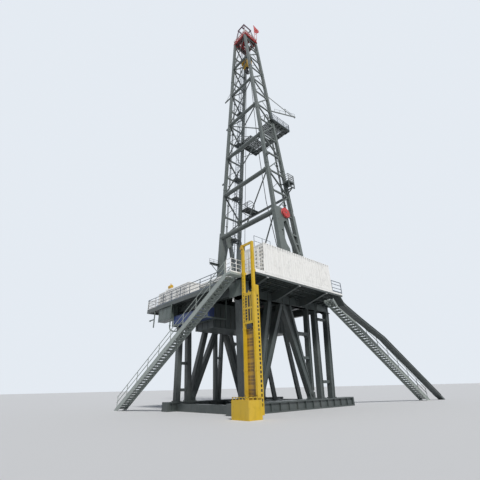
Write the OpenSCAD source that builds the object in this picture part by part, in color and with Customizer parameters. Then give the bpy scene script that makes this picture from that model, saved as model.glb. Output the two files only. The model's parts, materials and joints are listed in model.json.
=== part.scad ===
// Land drilling rig, a scale model at half the real size.
// X points forward, away from the rear stair. Y points to the rig's left. Z is up.
// The origin lies on the ground under the well centre. All sizes are millimetres of the model.

/* [Mast] */
// height of the crown beams above the rig floor
mast_height = 22250; // [18000:50:26000]
// half the distance between the left and right columns at the floor
mast_half_base = 2645; // [2200:5:3000]
// half the distance between the left and right columns at the crown
mast_half_top = 630; // [560:5:1000]
// distance of the rear columns behind the well centre
mast_rear = 680; // [600:5:900]
// distance of the front columns ahead of the well centre, at the floor
mast_front_base = 800; // [700:5:1000]
// distance of the front columns ahead of the well centre, at the crown
mast_front_top = 560; // [500:5:800]
// side of a mast column
mast_column = 170; // [120:5:220]
// how far a plate at a column's foot stands proud of the column on each side
plate_proud = 30; // [15:1:50]
// thickness of the side bracing
brace_t = 80; // [50:5:110]
// height of the first rear tube above the floor
first_tube = 4420; // [4000:10:5000]
// diameter of the first rear tube
tube_d = 290; // [200:5:300]
// number of full bays above the first tube
bays = 6; // [5:1:7]
// diameter of the rear braces
rod_d = 75; // [50:5:100]

/* [Floor] */
// height of the rig floor above the ground
floor_top = 4550; // [4000:10:5500]
// thickness of the floor plate
floor_t = 80; // [50:5:120]
// depth of the rim under the floor's edge
rim_h = 100; // [60:5:150]
// distance of the floor's rear edge behind the well centre
floor_rear = 4000; // [3800:10:4500]
// distance of the floor's front edge ahead of the well centre
floor_front = 2850; // [2750:10:3500]
// distance of the floor's left edge from the centre line
floor_left = 4450; // [4200:10:5000]
// how far the floor reaches past the foot of the mast's right side
floor_margin = 205; // [150:5:400]
// height of the handrails
rail_h = 520; // [450:10:600]
// thickness of a handrail's bars
rail_t = 24; // [16:1:30]

/* [Substructure] */
// height of the ground skids
skid_h = 350; // [250:10:450]
// width of a ground skid
skid_w = 480; // [300:10:600]
// distance of the skids and columns from the centre line
skid_y = 2200; // [1800:10:2400]
// length of the base ahead of the well centre
base_front = 3550; // [3400:10:4000]
// length of the base behind the well centre
base_rear = 3750; // [3600:10:4200]
// radius of the ring round the well, on the ground
well_r = 300; // [280:5:400]
// width of the floor's long girders
girder_w = 280; // [200:10:400]
// depth of the floor's long girders
girder_h = 400; // [300:10:600]
// side of a substructure column
post = 200; // [150:5:300]
// thickness of the legs across the rig
leg_t = 200; // [150:5:300]

/* [Doghouse] */
// length of the doghouse
house_l = 4325; // [4000:5:4800]
// width of the doghouse
house_w = 1100; // [1000:5:1100]
// height of the doghouse
house_h = 1200; // [1150:5:1400]
// thickness of the doghouse walls
house_wall = 40; // [30:1:60]
// distance of the doghouse from the floor's rear edge
porch = 500; // [450:10:700]
// width of the doorway
door_w = 380; // [350:5:450]
// height of the doorway
door_h = 1000; // [900:5:1050]
// thickness of the door
door_t = 28; // [20:1:35]

/* [Stairs] */
// width of a stair
stair_w = 420; // [400:10:600]
// rise of one step
stair_rise = 98; // [80:1:120]
// run of one step
stair_run = 180; // [140:1:200]
// depth of a stair's side plates
stringer = 200; // [150:5:250]

/* [Hoisting] */
// radius of the rotary table's bore
table_bore = 238; // [200:1:260]
// height of the rotary table
table_h = 120; // [90:5:160]
// distance of the travelling block's top under the crown
block_drop = 1950; // [1300:50:19000]
// height of the travelling block
block_h = 1150; // [1050:10:1400]
// width of the travelling block
block_w = 520; // [510:10:560]
// radius of the sheaves in the crown and in the block
pulley_r = 300; // [250:5:305]
// diameter of a drill line
line_d = 18; // [14:1:20]
// thickness of the crown beams
crown_t = 160; // [100:5:200]
// length of the crown along the rig
crown_l = 1400; // [1350:10:1800]
// width of the crown
crown_w = 1460; // [1460:10:1900]
// height of the racking board above the floor
rack_h = 12300; // [11500:50:13500]

// length of the drawworks housing along the rig
winch_l = 1500; // [1200:10:1700]
// width of the drawworks housing across the rig
winch_w = 2900; // [2500:10:2900]
// height of the drawworks housing
winch_h = 760; // [600:10:1200]

/* [Lift] */
// height of the lift's posts above its base
lift_h = 5550; // [5400:10:5800]
// width of the opening between the lift's posts
lift_w = 420; // [400:5:560]
// height of the carriage
cage_h = 1050; // [900:10:1200]

/* [Hidden] */

mast_c = [0.42, 0.46, 0.43];
sub_c = [0.24, 0.28, 0.27];
white_c = [0.9, 0.9, 0.88];
yellow_c = [0.9, 0.7, 0.12];
red_c = [0.75, 0.15, 0.15];
blue_c = [0.1, 0.25, 0.55];
grey_c = [0.55, 0.58, 0.56];
rail_c = [0.3, 0.36, 0.45];
purple_c = [0.3, 0.12, 0.2];
dark_c = [0.12, 0.12, 0.13];

big = 60000;
crown_z = floor_top + mast_height;
crown_top = crown_z + crown_t;
floor_right = mast_half_base + floor_margin;
floor_under = floor_top - floor_t;
girder_under = floor_under - girder_h;
girder_face = skid_y + girder_w / 2;
col_h = girder_under - skid_h;
lean = atan((mast_half_base - mast_half_top) / mast_height);
side_len = mast_height / cos(lean);
bay = (mast_height - first_tube) / bays;
plate_t = mast_column + 2 * plate_proud;

// half width of the mast and the front columns' place at a height above the floor
function half_at(h) = mast_half_base + (mast_half_top - mast_half_base) * h / mast_height;
function front_at(h) = mast_front_base + (mast_front_top - mast_front_base) * h / mast_height;
function tube_h(i) = first_tube + i * bay;
function tube_size(i) = tube_d - 22 * i;

// rectangular bar from point a to point b
module bar(a, b, w, d) {
    v = b - a;
    h = norm(v);
    translate(a)
        rotate([0, acos(v[2] / h), atan2(v[1], v[0])])
            translate([-w / 2, -d / 2, 0])
                cube([w, d, h]);
}

// eight-sided rod from point a to point b
module rod(a, b, d) {
    v = b - a;
    h = norm(v);
    translate(a)
        rotate([0, acos(v[2] / h), atan2(v[1], v[0])])
            cylinder(d = d, h = h, $fn = 8);
}

// flat bar in a drawing
module strip(a, b, w) {
    v = b - a;
    translate(a)
        rotate(atan2(v[1], v[0]))
            translate([0, -w / 2])
                square([norm(v), w]);
}

// stands a drawing up in the XZ plane, with its thickness along Y
module upright(t) {
    rotate([90, 0, 0])
        linear_extrude(height = t, center = true)
            children();
}

// stands a drawing up in the YZ plane, with its thickness along X
module crosswise(t) {
    rotate([90, 0, 90])
        linear_extrude(height = t, center = true)
            children();
}

module slab(z0, z1) {
    translate([-big / 2, -big / 2, z0])
        cube([big, big, z1 - z0]);
}

// a flat handrail: a drawing from 0 to l, with posts at most 900 apart
module rail_2d(l, h) {
    n = ceil(l / 900);
    for (i = [0 : n])
        translate([i * (l - rail_t) / n, 0])
            square([rail_t, h]);
    for (z = [0.35, 0.68])
        translate([0, z * h])
            square([l, 0.75 * rail_t]);
    translate([0, h - rail_t])
        square([l, rail_t]);
    square([l, 60]);
}

// places a side panel of the mast: side is -1 for the right, 1 for the left
module on_side(side) {
    translate([0, side * mast_half_base, floor_top])
        rotate([side * lean, 0, 0])
            children();
}

foot_end = 100;
module columns_2d(w) {
    strip([-mast_rear, -foot_end], [-mast_rear, side_len + foot_end], w);
    strip([mast_front_base, -foot_end], [mast_front_top, side_len + foot_end], w);
}

sheave_x = -mast_rear + 680;
sheave_h = first_tube + 30;
strut_top = [sheave_x + 30, sheave_h - 350];
strut_foot = [mast_front_base, 1240];
rung_gap = 500;
function strut_at(h) = strut_top[0] + (strut_foot[0] - strut_top[0]) * (strut_top[1] - h)
    / (strut_top[1] - strut_foot[1]);

// the rear column's plates: a wide one at the floor and one that carries the sheave
module foot_2d() {
    g = sheave_h;
    r = -mast_rear;
    difference() {
        polygon([[r - 120, -foot_end], [r + 560, -foot_end], [r + 560, g - 2150], [r + 400, g - 1950],
            [r + 320, g - 1650], [r + 380, g - 1150], [r + 440, g - 620], [sheave_x + 160, g - 320],
            [sheave_x + 160, g + 120], [sheave_x - 80, g + 280], [r - 120, g + 280]]);
        translate([r + 250, g - 1180])
            circle(60);
        translate([r + 250, g - 1340])
            square([40, 320], center = true);
    }
    strip([mast_front_base, -foot_end], [front_at(g), g + 100], mast_column + 40);
    strip(strut_top, strut_foot, 150);
    for (i = [1 : 4]) {
        h = strut_foot[1] + i * rung_gap;
        strip([strut_at(h), h], [front_at(h), h], 90);
    }
}

module mast_columns(side) {
    on_side(side)
        upright(mast_column)
            columns_2d(mast_column);
    on_side(side)
        upright(plate_t)
            foot_2d();
}

// side bracing: a beam at every half bay, with diagonals that zigzag from column to column
module ladder_2d() {
    h = bay / 2;
    for (i = [0 : 2 * bays - 1]) {
        z0 = first_tube + i * h;
        z1 = z0 + h;
        strip([-mast_rear, z0], [front_at(z0), z0], 90);
        if (i % 2 == 0)
            strip([-mast_rear, z0], [front_at(z1), z1], 70);
        else
            strip([front_at(z0), z0], [-mast_rear, z1], 70);
    }
    strip([-mast_rear, side_len - 60], [mast_front_top, side_len - 60], 110);
}

pin_r = 40;
pin_root = 40;
sheave_gap = 8;
sheave_t = 90;
module sheave_pin(side) {
    on_side(side)
        translate([sheave_x, side * (plate_t / 2 - pin_root), sheave_h])
            rotate([side * -90, 0, 0])
                cylinder(r = pin_r, h = pin_root + sheave_t + 2 * sheave_gap);
}

module mast_side(side) {
    color(mast_c)
        intersection() {
            union() {
                mast_columns(side);
                sheave_pin(side);
                on_side(side)
                    upright(brace_t)
                        ladder_2d();
            }
            slab(floor_top, crown_z);
        }
}

module mast_right() {
    mast_side(-1);
}

module mast_left() {
    mast_side(1);
}

module tube(i) {
    h = tube_h(i);
    translate([-mast_rear, half_at(h), floor_top + h])
        rotate([90, 0, 0])
            cylinder(d = tube_size(i), h = 2 * half_at(h));
}

module mast_tubes() {
    color(mast_c)
        difference() {
            for (i = [0 : bays - 1])
                tube(i);
            mast_side(-1);
            mast_side(1);
        }
}

front_beam_h = first_tube + bay / 2;
front_beam = 110;
function point(x, y, h) = [x, y, floor_top + h];

// rear braces fall from the right end of a tube; the two lowest stop at the middle
module rear_rods() {
    rod(point(-mast_rear, -half_at(tube_h(0)), tube_h(0)), point(-mast_rear, 0, 60), rod_d);
    rod(point(-mast_rear, -half_at(tube_h(1)), tube_h(1)), point(-mast_rear, 0, tube_h(0)), rod_d);
    for (i = [2 : bays])
        rod(point(-mast_rear, -half_at(tube_h(i)), tube_h(i) - 60),
            point(-mast_rear, half_at(tube_h(i - 1)), tube_h(i - 1) + 60), rod_d);
}

module mast_braces() {
    color(mast_c)
        difference() {
            intersection() {
                union() {
                    rear_rods();
                    translate([front_at(front_beam_h) - front_beam / 2, -half_at(front_beam_h),
                        floor_top + front_beam_h - front_beam / 2])
                        cube([front_beam, 2 * half_at(front_beam_h), front_beam]);
                    rod(point(-mast_rear, half_at(rack_h), rack_h + 150),
                        point(-mast_rear, -half_at(rack_h - 2370), rack_h - 2370), 45);
                }
                slab(floor_top, crown_z);
            }
            for (i = [0 : bays - 1])
                tube(i);
            mast_side(-1);
            mast_side(1);
        }
}

// ground skids
flange = 50;
module base_skids() {
    color(sub_c)
        for (side = [-1, 1])
            translate([-base_rear, side * skid_y - skid_w / 2, 0])
                difference() {
                    cube([base_rear + base_front, skid_w, skid_h]);
                    for (f = [-1, skid_w - 60])
                        translate([2 * flange, f, flange])
                            cube([base_rear + base_front - 4 * flange, 61, skid_h - 2 * flange]);
                }
}

cross_w = 220;
cross_h = 280;
ring_t = 60;
ring_half = well_r + 160;
module base_cross() {
    half = skid_y - skid_w / 2;
    color(sub_c) {
        for (x = [-base_rear + 450, -ring_half - cross_w, ring_half, prop_x[1] - cross_w / 2,
            base_front - 1050])
            translate([x, -half, 0])
                cube([cross_w, 2 * half, cross_h]);
        difference() {
            translate([-ring_half, -ring_half, 0])
                cube([2 * ring_half, 2 * ring_half, ring_t]);
            translate([0, 0, -1])
                cylinder(r = well_r, h = ring_t + 2);
        }
    }
}

// two posts that lean a little, with rungs at shares of their height
rung_t = 120;
module ladder_column(feet, heads, y, rungs) {
    translate([0, y, 0]) {
        upright(post)
            for (i = [0, 1])
                polygon([[feet[i] - post / 2, skid_h], [feet[i] + post / 2, skid_h],
                    [heads[i] + post / 2, girder_under], [heads[i] - post / 2, girder_under]]);
        upright(rung_t)
            for (k = rungs)
                strip([feet[0] + k * (heads[0] - feet[0]), skid_h + k * col_h],
                    [feet[1] + k * (heads[1] - feet[1]), skid_h + k * col_h], rung_t);
    }
}

rear_feet = [-base_rear + 565, -base_rear + 1150];
rear_heads = [-base_rear + 470, -base_rear + 920];
front_feet = [base_front - 2215, base_front - 1405];
front_heads = [base_front - 1925, base_front - 930];
module columns() {
    color(sub_c)
        for (side = [-1, 1]) {
            ladder_column(rear_feet, rear_heads, side * skid_y, [0.12, 0.41, 0.72]);
            ladder_column(front_feet, front_heads, side * skid_y, [0.17, 0.9]);
        }
}

// a pair of rear legs that meet at the foot, and the forward leg with its brace
foot_l = 340;
foot_h = 260;
module legs_2d() {
    top = girder_under + 100;
    strip([-1575, top], [-2470, 100], 200);
    strip([-780, top], [-2420, skid_h], 200);
    strip([-760, top], [720, 200], 220);
    strip([-262, top], [640, 675], 110);
    strip([1010, top], [665, 150], 120);
    strip([60, top - 1265], [870, top - 1265], 130);
    polygon([[-10, top - 970], [140, top - 1210], [780, top - 1210], [905, top - 1060],
        [840, top - 1530], [740, top - 1320], [240, top - 1320], [120, top - 1470]]);
    strip([320, top - 2255], [775, top - 2255], 110);
    for (x = [-2580, 510])
        translate([x, skid_h])
            square([foot_l, foot_h]);
}

// two slender props that stand on the left side only
module props_2d() {
    top = girder_under + 100;
    strip([-1130, top], [-1030, 100], 150);
    strip([-625, top], [-860, 100], 140);
    strip([-1070, top - 2000], [-740, top - 2000], 90);
}

module side_legs(side) {
    color(sub_c)
        difference() {
            intersection() {
                translate([0, side * skid_y, 0])
                    upright(leg_t) {
                        legs_2d();
                        if (side > 0)
                            props_2d();
                    }
                slab(skid_h, girder_under);
            }
            columns();
        }
}

module legs_right() {
    side_legs(-1);
}

module legs_left() {
    side_legs(1);
}

// the long girders, with the arms on the right one that carry the doghouse's platform
arm_w = 60;
arm_h = 380;
arm_reach = 350;
module girders_long() {
    color(sub_c) {
        for (side = [-1, 1])
            translate([-floor_rear + 500, side * skid_y - girder_w / 2, girder_under])
                cube([floor_rear + floor_front - 650, girder_w, girder_h]);
        for (i = [0 : 2])
            translate([house_x + 170 + i * (house_l - 600) / 2, 0, 0])
                crosswise(arm_w)
                    polygon([[1 - girder_face, floor_under], [house_y + 40, floor_under],
                        [house_y + 40, floor_under - 60],
                        [-girder_face - arm_reach, floor_under - arm_h],
                        [1 - girder_face, floor_under - arm_h]]);
    }
}

module girders_cross() {
    half = skid_y - girder_w / 2;
    color(sub_c)
        for (x = [-floor_rear + 600, -floor_rear + 2000, 750, floor_front - 500])
            translate([x, -half, girder_under + 60])
                cube([200, 2 * half, girder_h - 60]);
}

// boxes hung under the floor, clear of the well, and two props under the front one
box_under = girder_under - 970;
box_h = girder_under + 60 - box_under;
core_l = 2400;
core_w = 1400;
core_y = -450;
nose_x = well_r + 40;
nose_l = 860;
nose_w = 1700;
prop_y = nose_w / 2 - 50;
prop_x = [nose_x + nose_l - 225, nose_x + nose_l + 440];
module lower_box() {
    color(sub_c) {
        translate([-nose_x - 460 - core_l, core_y, box_under])
            cube([core_l, core_w, box_h]);
        translate([nose_x, -nose_w / 2, box_under])
            cube([nose_l, nose_w, box_h]);
        intersection() {
            for (side = [-1, 1])
                translate([0, side * prop_y, 0])
                    upright(100)
                        strip([prop_x[0] - 25, box_under + 100], [prop_x[1] + 25, cross_h - 100], 240);
            slab(cross_h, box_under + 20);
        }
    }
}

module floor_plate() {
    l = floor_rear + floor_front;
    w = floor_left + floor_right;
    color(sub_c)
        difference() {
            translate([-floor_rear, -floor_right, floor_under - rim_h])
                cube([l, w, floor_t + rim_h]);
            translate([-floor_rear + rim_t, -floor_right - 1, floor_under - rim_h - 1])
                cube([l - 2 * rim_t, w - rim_t + 1, rim_h + 1]);
            cylinder(r = table_bore + 40, h = floor_top + 1);
        }
}

rim_t = 60;
house_y = -floor_right - house_w;
house_x = -floor_rear + porch;
house_end = house_x + house_l;
stair_x = -floor_rear - 165;
landing = 300;
landing_y = -floor_right - 100;
chute_w = 300;
chute_y = -floor_right - 600;
chute_flat = 800;
front_x = house_end + chute_flat;
module house_platform() {
    color(white_c)
        translate([-floor_rear, house_y, floor_under])
            cube([floor_rear + front_x, house_w, floor_t]);
}

groove = 13;
door_y = house_y + 300;
door_gap = 6;
module doghouse() {
    n = round(house_l / 150);
    p = house_l / n;
    m = round((house_w - door_w - 300) / 150);
    color(white_c)
        difference() {
            translate([house_x, house_y, floor_top])
                cube([house_l, house_w, house_h]);
            translate([house_x + house_wall, house_y + house_wall, floor_top + house_wall])
                cube([house_l - 2 * house_wall, house_w - 2 * house_wall, house_h - 2 * house_wall]);
            translate([house_x - 1, door_y, floor_top + house_wall])
                cube([house_wall + 2, door_w, door_h]);
            for (i = [1 : n - 2])
                translate([house_x + (i + 0.25) * p, house_y - 1, floor_top + 80])
                    cube([p / 2, groove + 1, house_h - 160]);
            for (i = [0 : m - 1])
                translate([house_x - 1, door_y + door_w + 60 + i * p, floor_top + 80])
                    cube([groove + 1, p / 2, house_h - 160]);
        }
}

barrel_d = 26;
module doghouse_door() {
    h = door_h - 2 * door_gap;
    color(white_c)
        translate([house_x - 5 - door_t, door_y + door_gap, floor_top + house_wall + door_gap]) {
            cube([door_t, door_w - 2 * door_gap, h]);
            for (z = [80, h - 210])
                translate([0, 0, z])
                    cylinder(d = barrel_d, h = 130);
        }
}

module rails_rear() {
    color(rail_c)
        translate([-floor_rear + rail_t / 2 + 1, landing_y + 100, floor_top])
            crosswise(rail_t)
                rail_2d(floor_left - landing_y - 100, rail_h);
}

module rails_left() {
    color(rail_c)
        translate([-floor_rear + rail_t + 6, floor_left - rail_t / 2 - 1, floor_top])
            upright(rail_t)
                rail_2d(floor_rear + floor_front - 2 * rail_t - 12, rail_h);
}

// half the opening in the front rail
gate = 600;
module rails_front() {
    color(rail_c)
        translate([0, 0, floor_top]) {
            translate([floor_front - rail_t / 2 - 1, gate, 0])
                crosswise(rail_t)
                    rail_2d(floor_left - gate, rail_h);
            translate([floor_front - rail_t / 2 - 1, -floor_right + 1, 0])
                crosswise(rail_t)
                    rail_2d(floor_right - gate, rail_h);
            translate([house_end + rail_t, house_y + rail_t / 2 + 1, 0])
                upright(rail_t)
                    rail_2d(chute_flat - rail_t, rail_h);
        }
}

// the winch's housing, on the left rear of the floor, with the motors' covers on it
motor_gap = 250;
motor_w = 600;
motor_h = 220;
module drawworks() {
    y = floor_left - 650 - winch_w;
    color(white_c)
        translate([-floor_rear + 250, y, floor_top]) {
            cube([winch_l, winch_w, winch_h]);
            translate([motor_gap, winch_w - motor_gap - motor_w, winch_h])
                cube([winch_l - 2 * motor_gap, motor_w, motor_h]);
            translate([motor_gap, motor_gap, winch_h])
                cube([winch_l - 2 * motor_gap, winch_w - 3 * motor_gap - motor_w, motor_h / 2]);
        }
}

module rotary_table() {
    color(red_c)
        translate([0, 0, floor_top])
            difference() {
                union() {
                    cylinder(r = table_bore + 150, h = table_h);
                    translate([-table_bore - 212, -table_bore - 112, 0])
                        cube([2 * table_bore + 724, 2 * table_bore + 224, 0.75 * table_h]);
                }
                translate([0, 0, -1])
                    cylinder(r = table_bore, h = table_h + 2);
            }
}

cabinet_h = 700;
module hung_cabinet() {
    color(grey_c)
        translate([-floor_rear + 70, skid_y - 150, floor_under - cabinet_h])
            cube([400, 1200, cabinet_h]);
}

tank_w = 2650;
tank_h = 400;
tank_x = -floor_rear + 250;
tank_y = skid_y - 200 - tank_w;
tank_z = floor_under - 1020;
module under_tank() {
    color(blue_c)
        translate([tank_x, tank_y, tank_z])
            cube([400, tank_w, tank_h]);
}

bar_t = 50;
module tank_cradle() {
    x0 = tank_x - bar_t - 10;
    y0 = tank_y - 100;
    y1 = tank_y + tank_w;
    z = tank_z - bar_t;
    color(grey_c) {
        for (x = [x0, tank_x + 460])
            translate([x, y0, z])
                cube([bar_t, y1 - y0 + bar_t, bar_t]);
        translate([x0, y1, z])
            cube([460, bar_t, bar_t]);
        translate([x0, y0, z])
            cube([1070, bar_t, bar_t]);
        for (x = [x0, x0 + 1020])
            translate([x, y0, z])
                cube([bar_t, bar_t, floor_under - z]);
        translate([x0, y1, z])
            cube([bar_t, bar_t, floor_under - z]);
    }
}

mast_sheave = 300;
// a grooved wheel with a hub, turning on the pin
module sheave(side) {
    r0 = pin_r + 6;
    r1 = r0 + 50;
    r2 = mast_sheave - 70;
    web = sheave_t / 3;
    color(red_c)
        on_side(side)
            translate([sheave_x, side * (plate_t / 2 + sheave_gap), sheave_h])
                rotate([side * -90, 0, 0])
                    rotate_extrude()
                        polygon([[r0, 0], [r1, 0], [r1, web], [r2, web], [r2, 0], [mast_sheave, 0],
                            [mast_sheave - 35, sheave_t / 2], [mast_sheave, sheave_t], [r2, sheave_t],
                            [r2, 2 * web], [r1, 2 * web], [r1, sheave_t], [r0, sheave_t]]);
}

module sheave_right() {
    sheave(-1);
}

module sheave_left() {
    sheave(1);
}

// a small platform on the front beam, reaching in beside the travelling block
board_t = 40;
board_y = block_w / 2 + 70;
board_w = 620;
module stabbing_board() {
    h = front_beam_h + front_beam / 2;
    x1 = front_at(front_beam_h) + front_beam / 2;
    r = board_w / 2;
    color(mast_c)
        translate([0, 0, floor_top + h]) {
            translate([-200, board_y, 0])
                cube([x1 + 200, board_w, board_t]);
            for (y = [board_y + 12, board_y + board_w - 12])
                translate([-200 + r, y, board_t])
                    upright(20)
                        intersection() {
                            difference() {
                                union() {
                                    translate([0, 240])
                                        circle(r);
                                    translate([-r, 0])
                                        square([2 * r, 240]);
                                }
                                translate([0, 240])
                                    circle(r - rail_t);
                                translate([-r + rail_t, -1])
                                    square([2 * r - 2 * rail_t, 242]);
                            }
                            translate([-r, 0])
                                square([2 * r, 240 + r]);
                        }
        }
}

// a small railed platform outside the mast, on a frame held by the front column
side_h = first_tube + 2230;
deck_l = 520;
deck_w = 520;
deck_back = 330;
frame_drop = 330;
frame_t = 50;
knee_h = side_h - frame_drop - deck_w / 2;
module side_platform() {
    y0 = -half_at(side_h) - deck_w;
    xc = front_at(side_h);
    x0 = xc - deck_back;
    color(mast_c)
        difference() {
            translate([0, 0, floor_top + side_h]) {
                translate([x0, y0, 0])
                    cube([deck_l, deck_w, board_t]);
                translate([x0, y0 + 12, board_t])
                    upright(20)
                        rail_2d(deck_l, rail_h);
                for (x = [x0 + 12, x0 + deck_l - 12])
                    translate([x, y0, board_t])
                        crosswise(20)
                            rail_2d(deck_w - mast_column, rail_h);
                translate([x0, y0, -frame_drop])
                    cube([deck_l, frame_t, frame_t]);
                for (x = [x0, x0 + deck_l - frame_t])
                    translate([x, y0, -frame_drop])
                        cube([frame_t, frame_t, frame_drop + 1]);
                translate([xc - frame_t / 2, y0, -frame_drop])
                    cube([frame_t, -half_at(side_h - frame_drop) - y0, frame_t]);
                bar([xc, y0 + frame_t / 2, -frame_drop + frame_t / 2],
                    [xc, -half_at(knee_h), knee_h - side_h], frame_t, frame_t);
            }
            mast_side(-1);
        }
}

rack_z = floor_top + rack_h;
rack_l = 1880;
rack_half = half_at(rack_h) + 220;
module racking_board() {
    x0 = front_at(rack_h) - 250;
    color(sub_c)
        difference() {
            translate([0, 0, rack_z])
                linear_extrude(height = 60)
                    difference() {
                        translate([x0, -rack_half])
                            square([rack_l, 2 * rack_half]);
                        translate([x0 - 1, -rack_half + 420])
                            square([rack_l - 400, 2 * rack_half - 840]);
                    }
            mast_side(-1);
            mast_side(1);
        }
}

module racking_rails() {
    x0 = front_at(rack_h) - 240;
    l = rack_l - 40;
    color(rail_c)
        translate([0, 0, rack_z + 60]) {
            for (side = [-1, 1])
                translate([x0, side * (rack_half - 13), 0])
                    upright(20)
                        rail_2d(l, rail_h);
            translate([x0 + l + 10, -rack_half + 50, 0])
                crosswise(20)
                    rail_2d(2 * rack_half - 100, rail_h);
        }
}

// a slender arm above the racking board, with its stay
module racking_jib() {
    h = rack_h + 1200;
    up = 1700;
    color(mast_c)
        difference() {
            union() {
                bar(point(front_at(h), -half_at(h), h), point(front_at(h) + 1900, -half_at(h) - 785, h),
                    60, 60);
                bar(point(front_at(h + up), -half_at(h + up), h + up),
                    point(front_at(h) + 1700, -half_at(h) - 700, h), 36, 36);
            }
            mast_side(-1);
        }
}

crown_x = -crown_l / 2 - 50;
crown_hole = pulley_r + 100;
module crown_frame() {
    color(red_c)
        translate([0, 0, crown_z])
            linear_extrude(height = crown_t)
                difference() {
                    translate([crown_x, -crown_w / 2])
                        square([crown_l, crown_w]);
                    square([2 * crown_hole, 2 * crown_hole], center = true);
                }
}

// the sheaves over the crown and the axle they turn on
axle_up = pulley_r + 120;
axle_z = crown_top + axle_up;
pitch = 90;
wheel_t = 60;
module crown_sheaves() {
    color(red_c) {
        for (i = [-3 : 3])
            translate([0, i * pitch - wheel_t / 2, axle_z])
                rotate([-90, 0, 0])
                    cylinder(r = pulley_r, h = wheel_t);
        translate([0, -crown_hole - 80, axle_z])
            rotate([-90, 0, 0])
                cylinder(r = 60, h = 2 * crown_hole + 160);
        for (y = [-crown_hole - 80, crown_hole])
            translate([0, y, crown_top])
                rotate([-90, 0, 0])
                    linear_extrude(height = 80)
                        polygon([[-220, 0], [-110, -axle_up - 90], [110, -axle_up - 90], [220, 0]]);
    }
}

module crown_rails() {
    color(white_c)
        translate([0, 0, crown_top]) {
            for (y = [-crown_w / 2 + 12, crown_w / 2 - 12])
                translate([crown_x, y, 0])
                    upright(20)
                        rail_2d(crown_l, rail_h);
            for (x = [crown_x + 12, crown_x + crown_l - 12])
                translate([x, -crown_w / 2 + 30, 0])
                    crosswise(20)
                        rail_2d(crown_w - 60, rail_h);
        }
}

// an open frame over the crown, on four legs that lean in
gin_h = 1870;
gin_t = 80;
module gin_frame() {
    z = crown_top + gin_h;
    x0 = crown_x + 100;
    x1 = crown_x + crown_l - 100;
    y = crown_w / 2 - 100;
    color(purple_c) {
        intersection() {
            for (side = [-1, 1]) {
                bar([x0 - 15, side * (y + 25), crown_top - 100], [x0 + 180, side * (y - 290), z + 60],
                    70, 70);
                bar([x1 + 15, side * (y + 25), crown_top - 100], [x1 - 240, side * (y - 290), z + 60],
                    70, 70);
            }
            slab(crown_top, z + gin_t / 2);
        }
        translate([0, 0, z])
            linear_extrude(height = gin_t)
                difference() {
                    translate([x0 + 120, -y + 220])
                        square([x1 - x0 - 300, 2 * y - 440]);
                    translate([x0 + 200, -y + 300])
                        square([x1 - x0 - 460, y - 300 - 130]);
                    translate([x0 + 200, -40])
                        square([x1 - x0 - 460, y - 260]);
                }
    }
}

block_top = crown_z - block_drop;
block_under = block_top - block_h;
block_axle = block_h - pulley_r - 100;
shoulder = block_axle - pulley_r - 60;
side_w = pulley_r + 30;
module travelling_block() {
    color(yellow_c)
        translate([0, 0, block_under]) {
            for (y = [-block_w / 2 + 15, block_w / 2 - 15])
                translate([0, y, 0])
                    upright(30)
                        polygon([[-120, 0], [120, 0], [side_w, shoulder], [side_w, block_axle + 200],
                            [150, block_h], [-150, block_h], [-side_w, block_axle + 200],
                            [-side_w, shoulder]]);
            upright(block_w - 60)
                polygon([[-120, 0], [120, 0], [260, shoulder - 130], [200, shoulder],
                    [-200, shoulder], [-260, shoulder - 130]]);
            for (i = [-2 : 2])
                translate([0, i * pitch - 25, block_axle])
                    rotate([-90, 0, 0])
                        cylinder(r = pulley_r, h = 50);
            translate([0, -block_w / 2 - 20, block_axle])
                rotate([-90, 0, 0])
                    cylinder(r = 70, h = block_w + 40);
        }
}

// an open hook on a short shank
module hook() {
    color(dark_c)
        translate([0, 0, block_under])
            upright(130)
                difference() {
                    union() {
                        translate([-70, -260])
                            square([140, 260]);
                        translate([0, -440])
                            circle(240);
                    }
                    translate([0, -440])
                        circle(125);
                    translate([60, -440])
                        square([200, 130]);
                }
}

module drill_lines() {
    low = block_under + block_axle;
    color(dark_c)
        for (x = [-1, 1])
            for (i = [-2, -1, 1, 2])
                translate([x * (pulley_r + line_d / 2 + 1), i * pitch, low])
                    cylinder(d = line_d, h = axle_z - low, $fn = 6);
}

// two slack lines from the crown to the floor, clear of the block's path; one sags to the right
slack_d = 30;
slack_x = side_w + 120;
slack_end = floor_top + 20;
sag = [[262, crown_z - 2], [50, slack_end + 17500], [-205, slack_end + 12000],
    [-315, slack_end + 10000], [-655, slack_end + 6130], [-1180, slack_end + 3150],
    [-1700, slack_end + 1100], [-2080, slack_end]];
module anchor_lines() {
    last = len(sag) - 1;
    color(dark_c) {
        rod([500, 500, crown_z - 1300], [-550, 500, slack_end], slack_d);
        translate([slack_x, 0, 0])
            crosswise(slack_d)
                polygon(concat([for (p = sag) p + [slack_d / 2, 0]],
                    [for (i = [last : -1 : 0]) sag[i] - [slack_d / 2, 0]]));
    }
}

lift_x = -floor_rear - 150;
lift_y = -floor_right - 505;
lift_z = 100;
lift_post = 90;
module lift_frame() {
    far = lift_y - lift_post - lift_w;
    top = lift_z + lift_h;
    color(yellow_c) {
        for (y = [lift_y - lift_post, far - lift_post])
            translate([lift_x, y, lift_z])
                cube([100, lift_post, lift_h]);
        translate([lift_x + 10, far, top - 80])
            cube([60, lift_w, 80]);
        translate([lift_x + 92, far, lift_z])
            cube([8, lift_w, 2450]);
        for (y = [lift_y - lift_post, house_y])
            translate([lift_x + 100, y, floor_under])
                cube([50, 45, floor_t]);
        translate([lift_x, far - lift_post, lift_z])
            rack_side();
        translate([lift_x - 450, far - lift_post - 60, 0])
            difference() {
                cube([550, lift_w + 2 * lift_post + 160, 500]);
                translate([20, 20, lift_z])
                    cube([531, lift_w + 2 * lift_post + 120, 500]);
            }
    }
}

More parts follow.
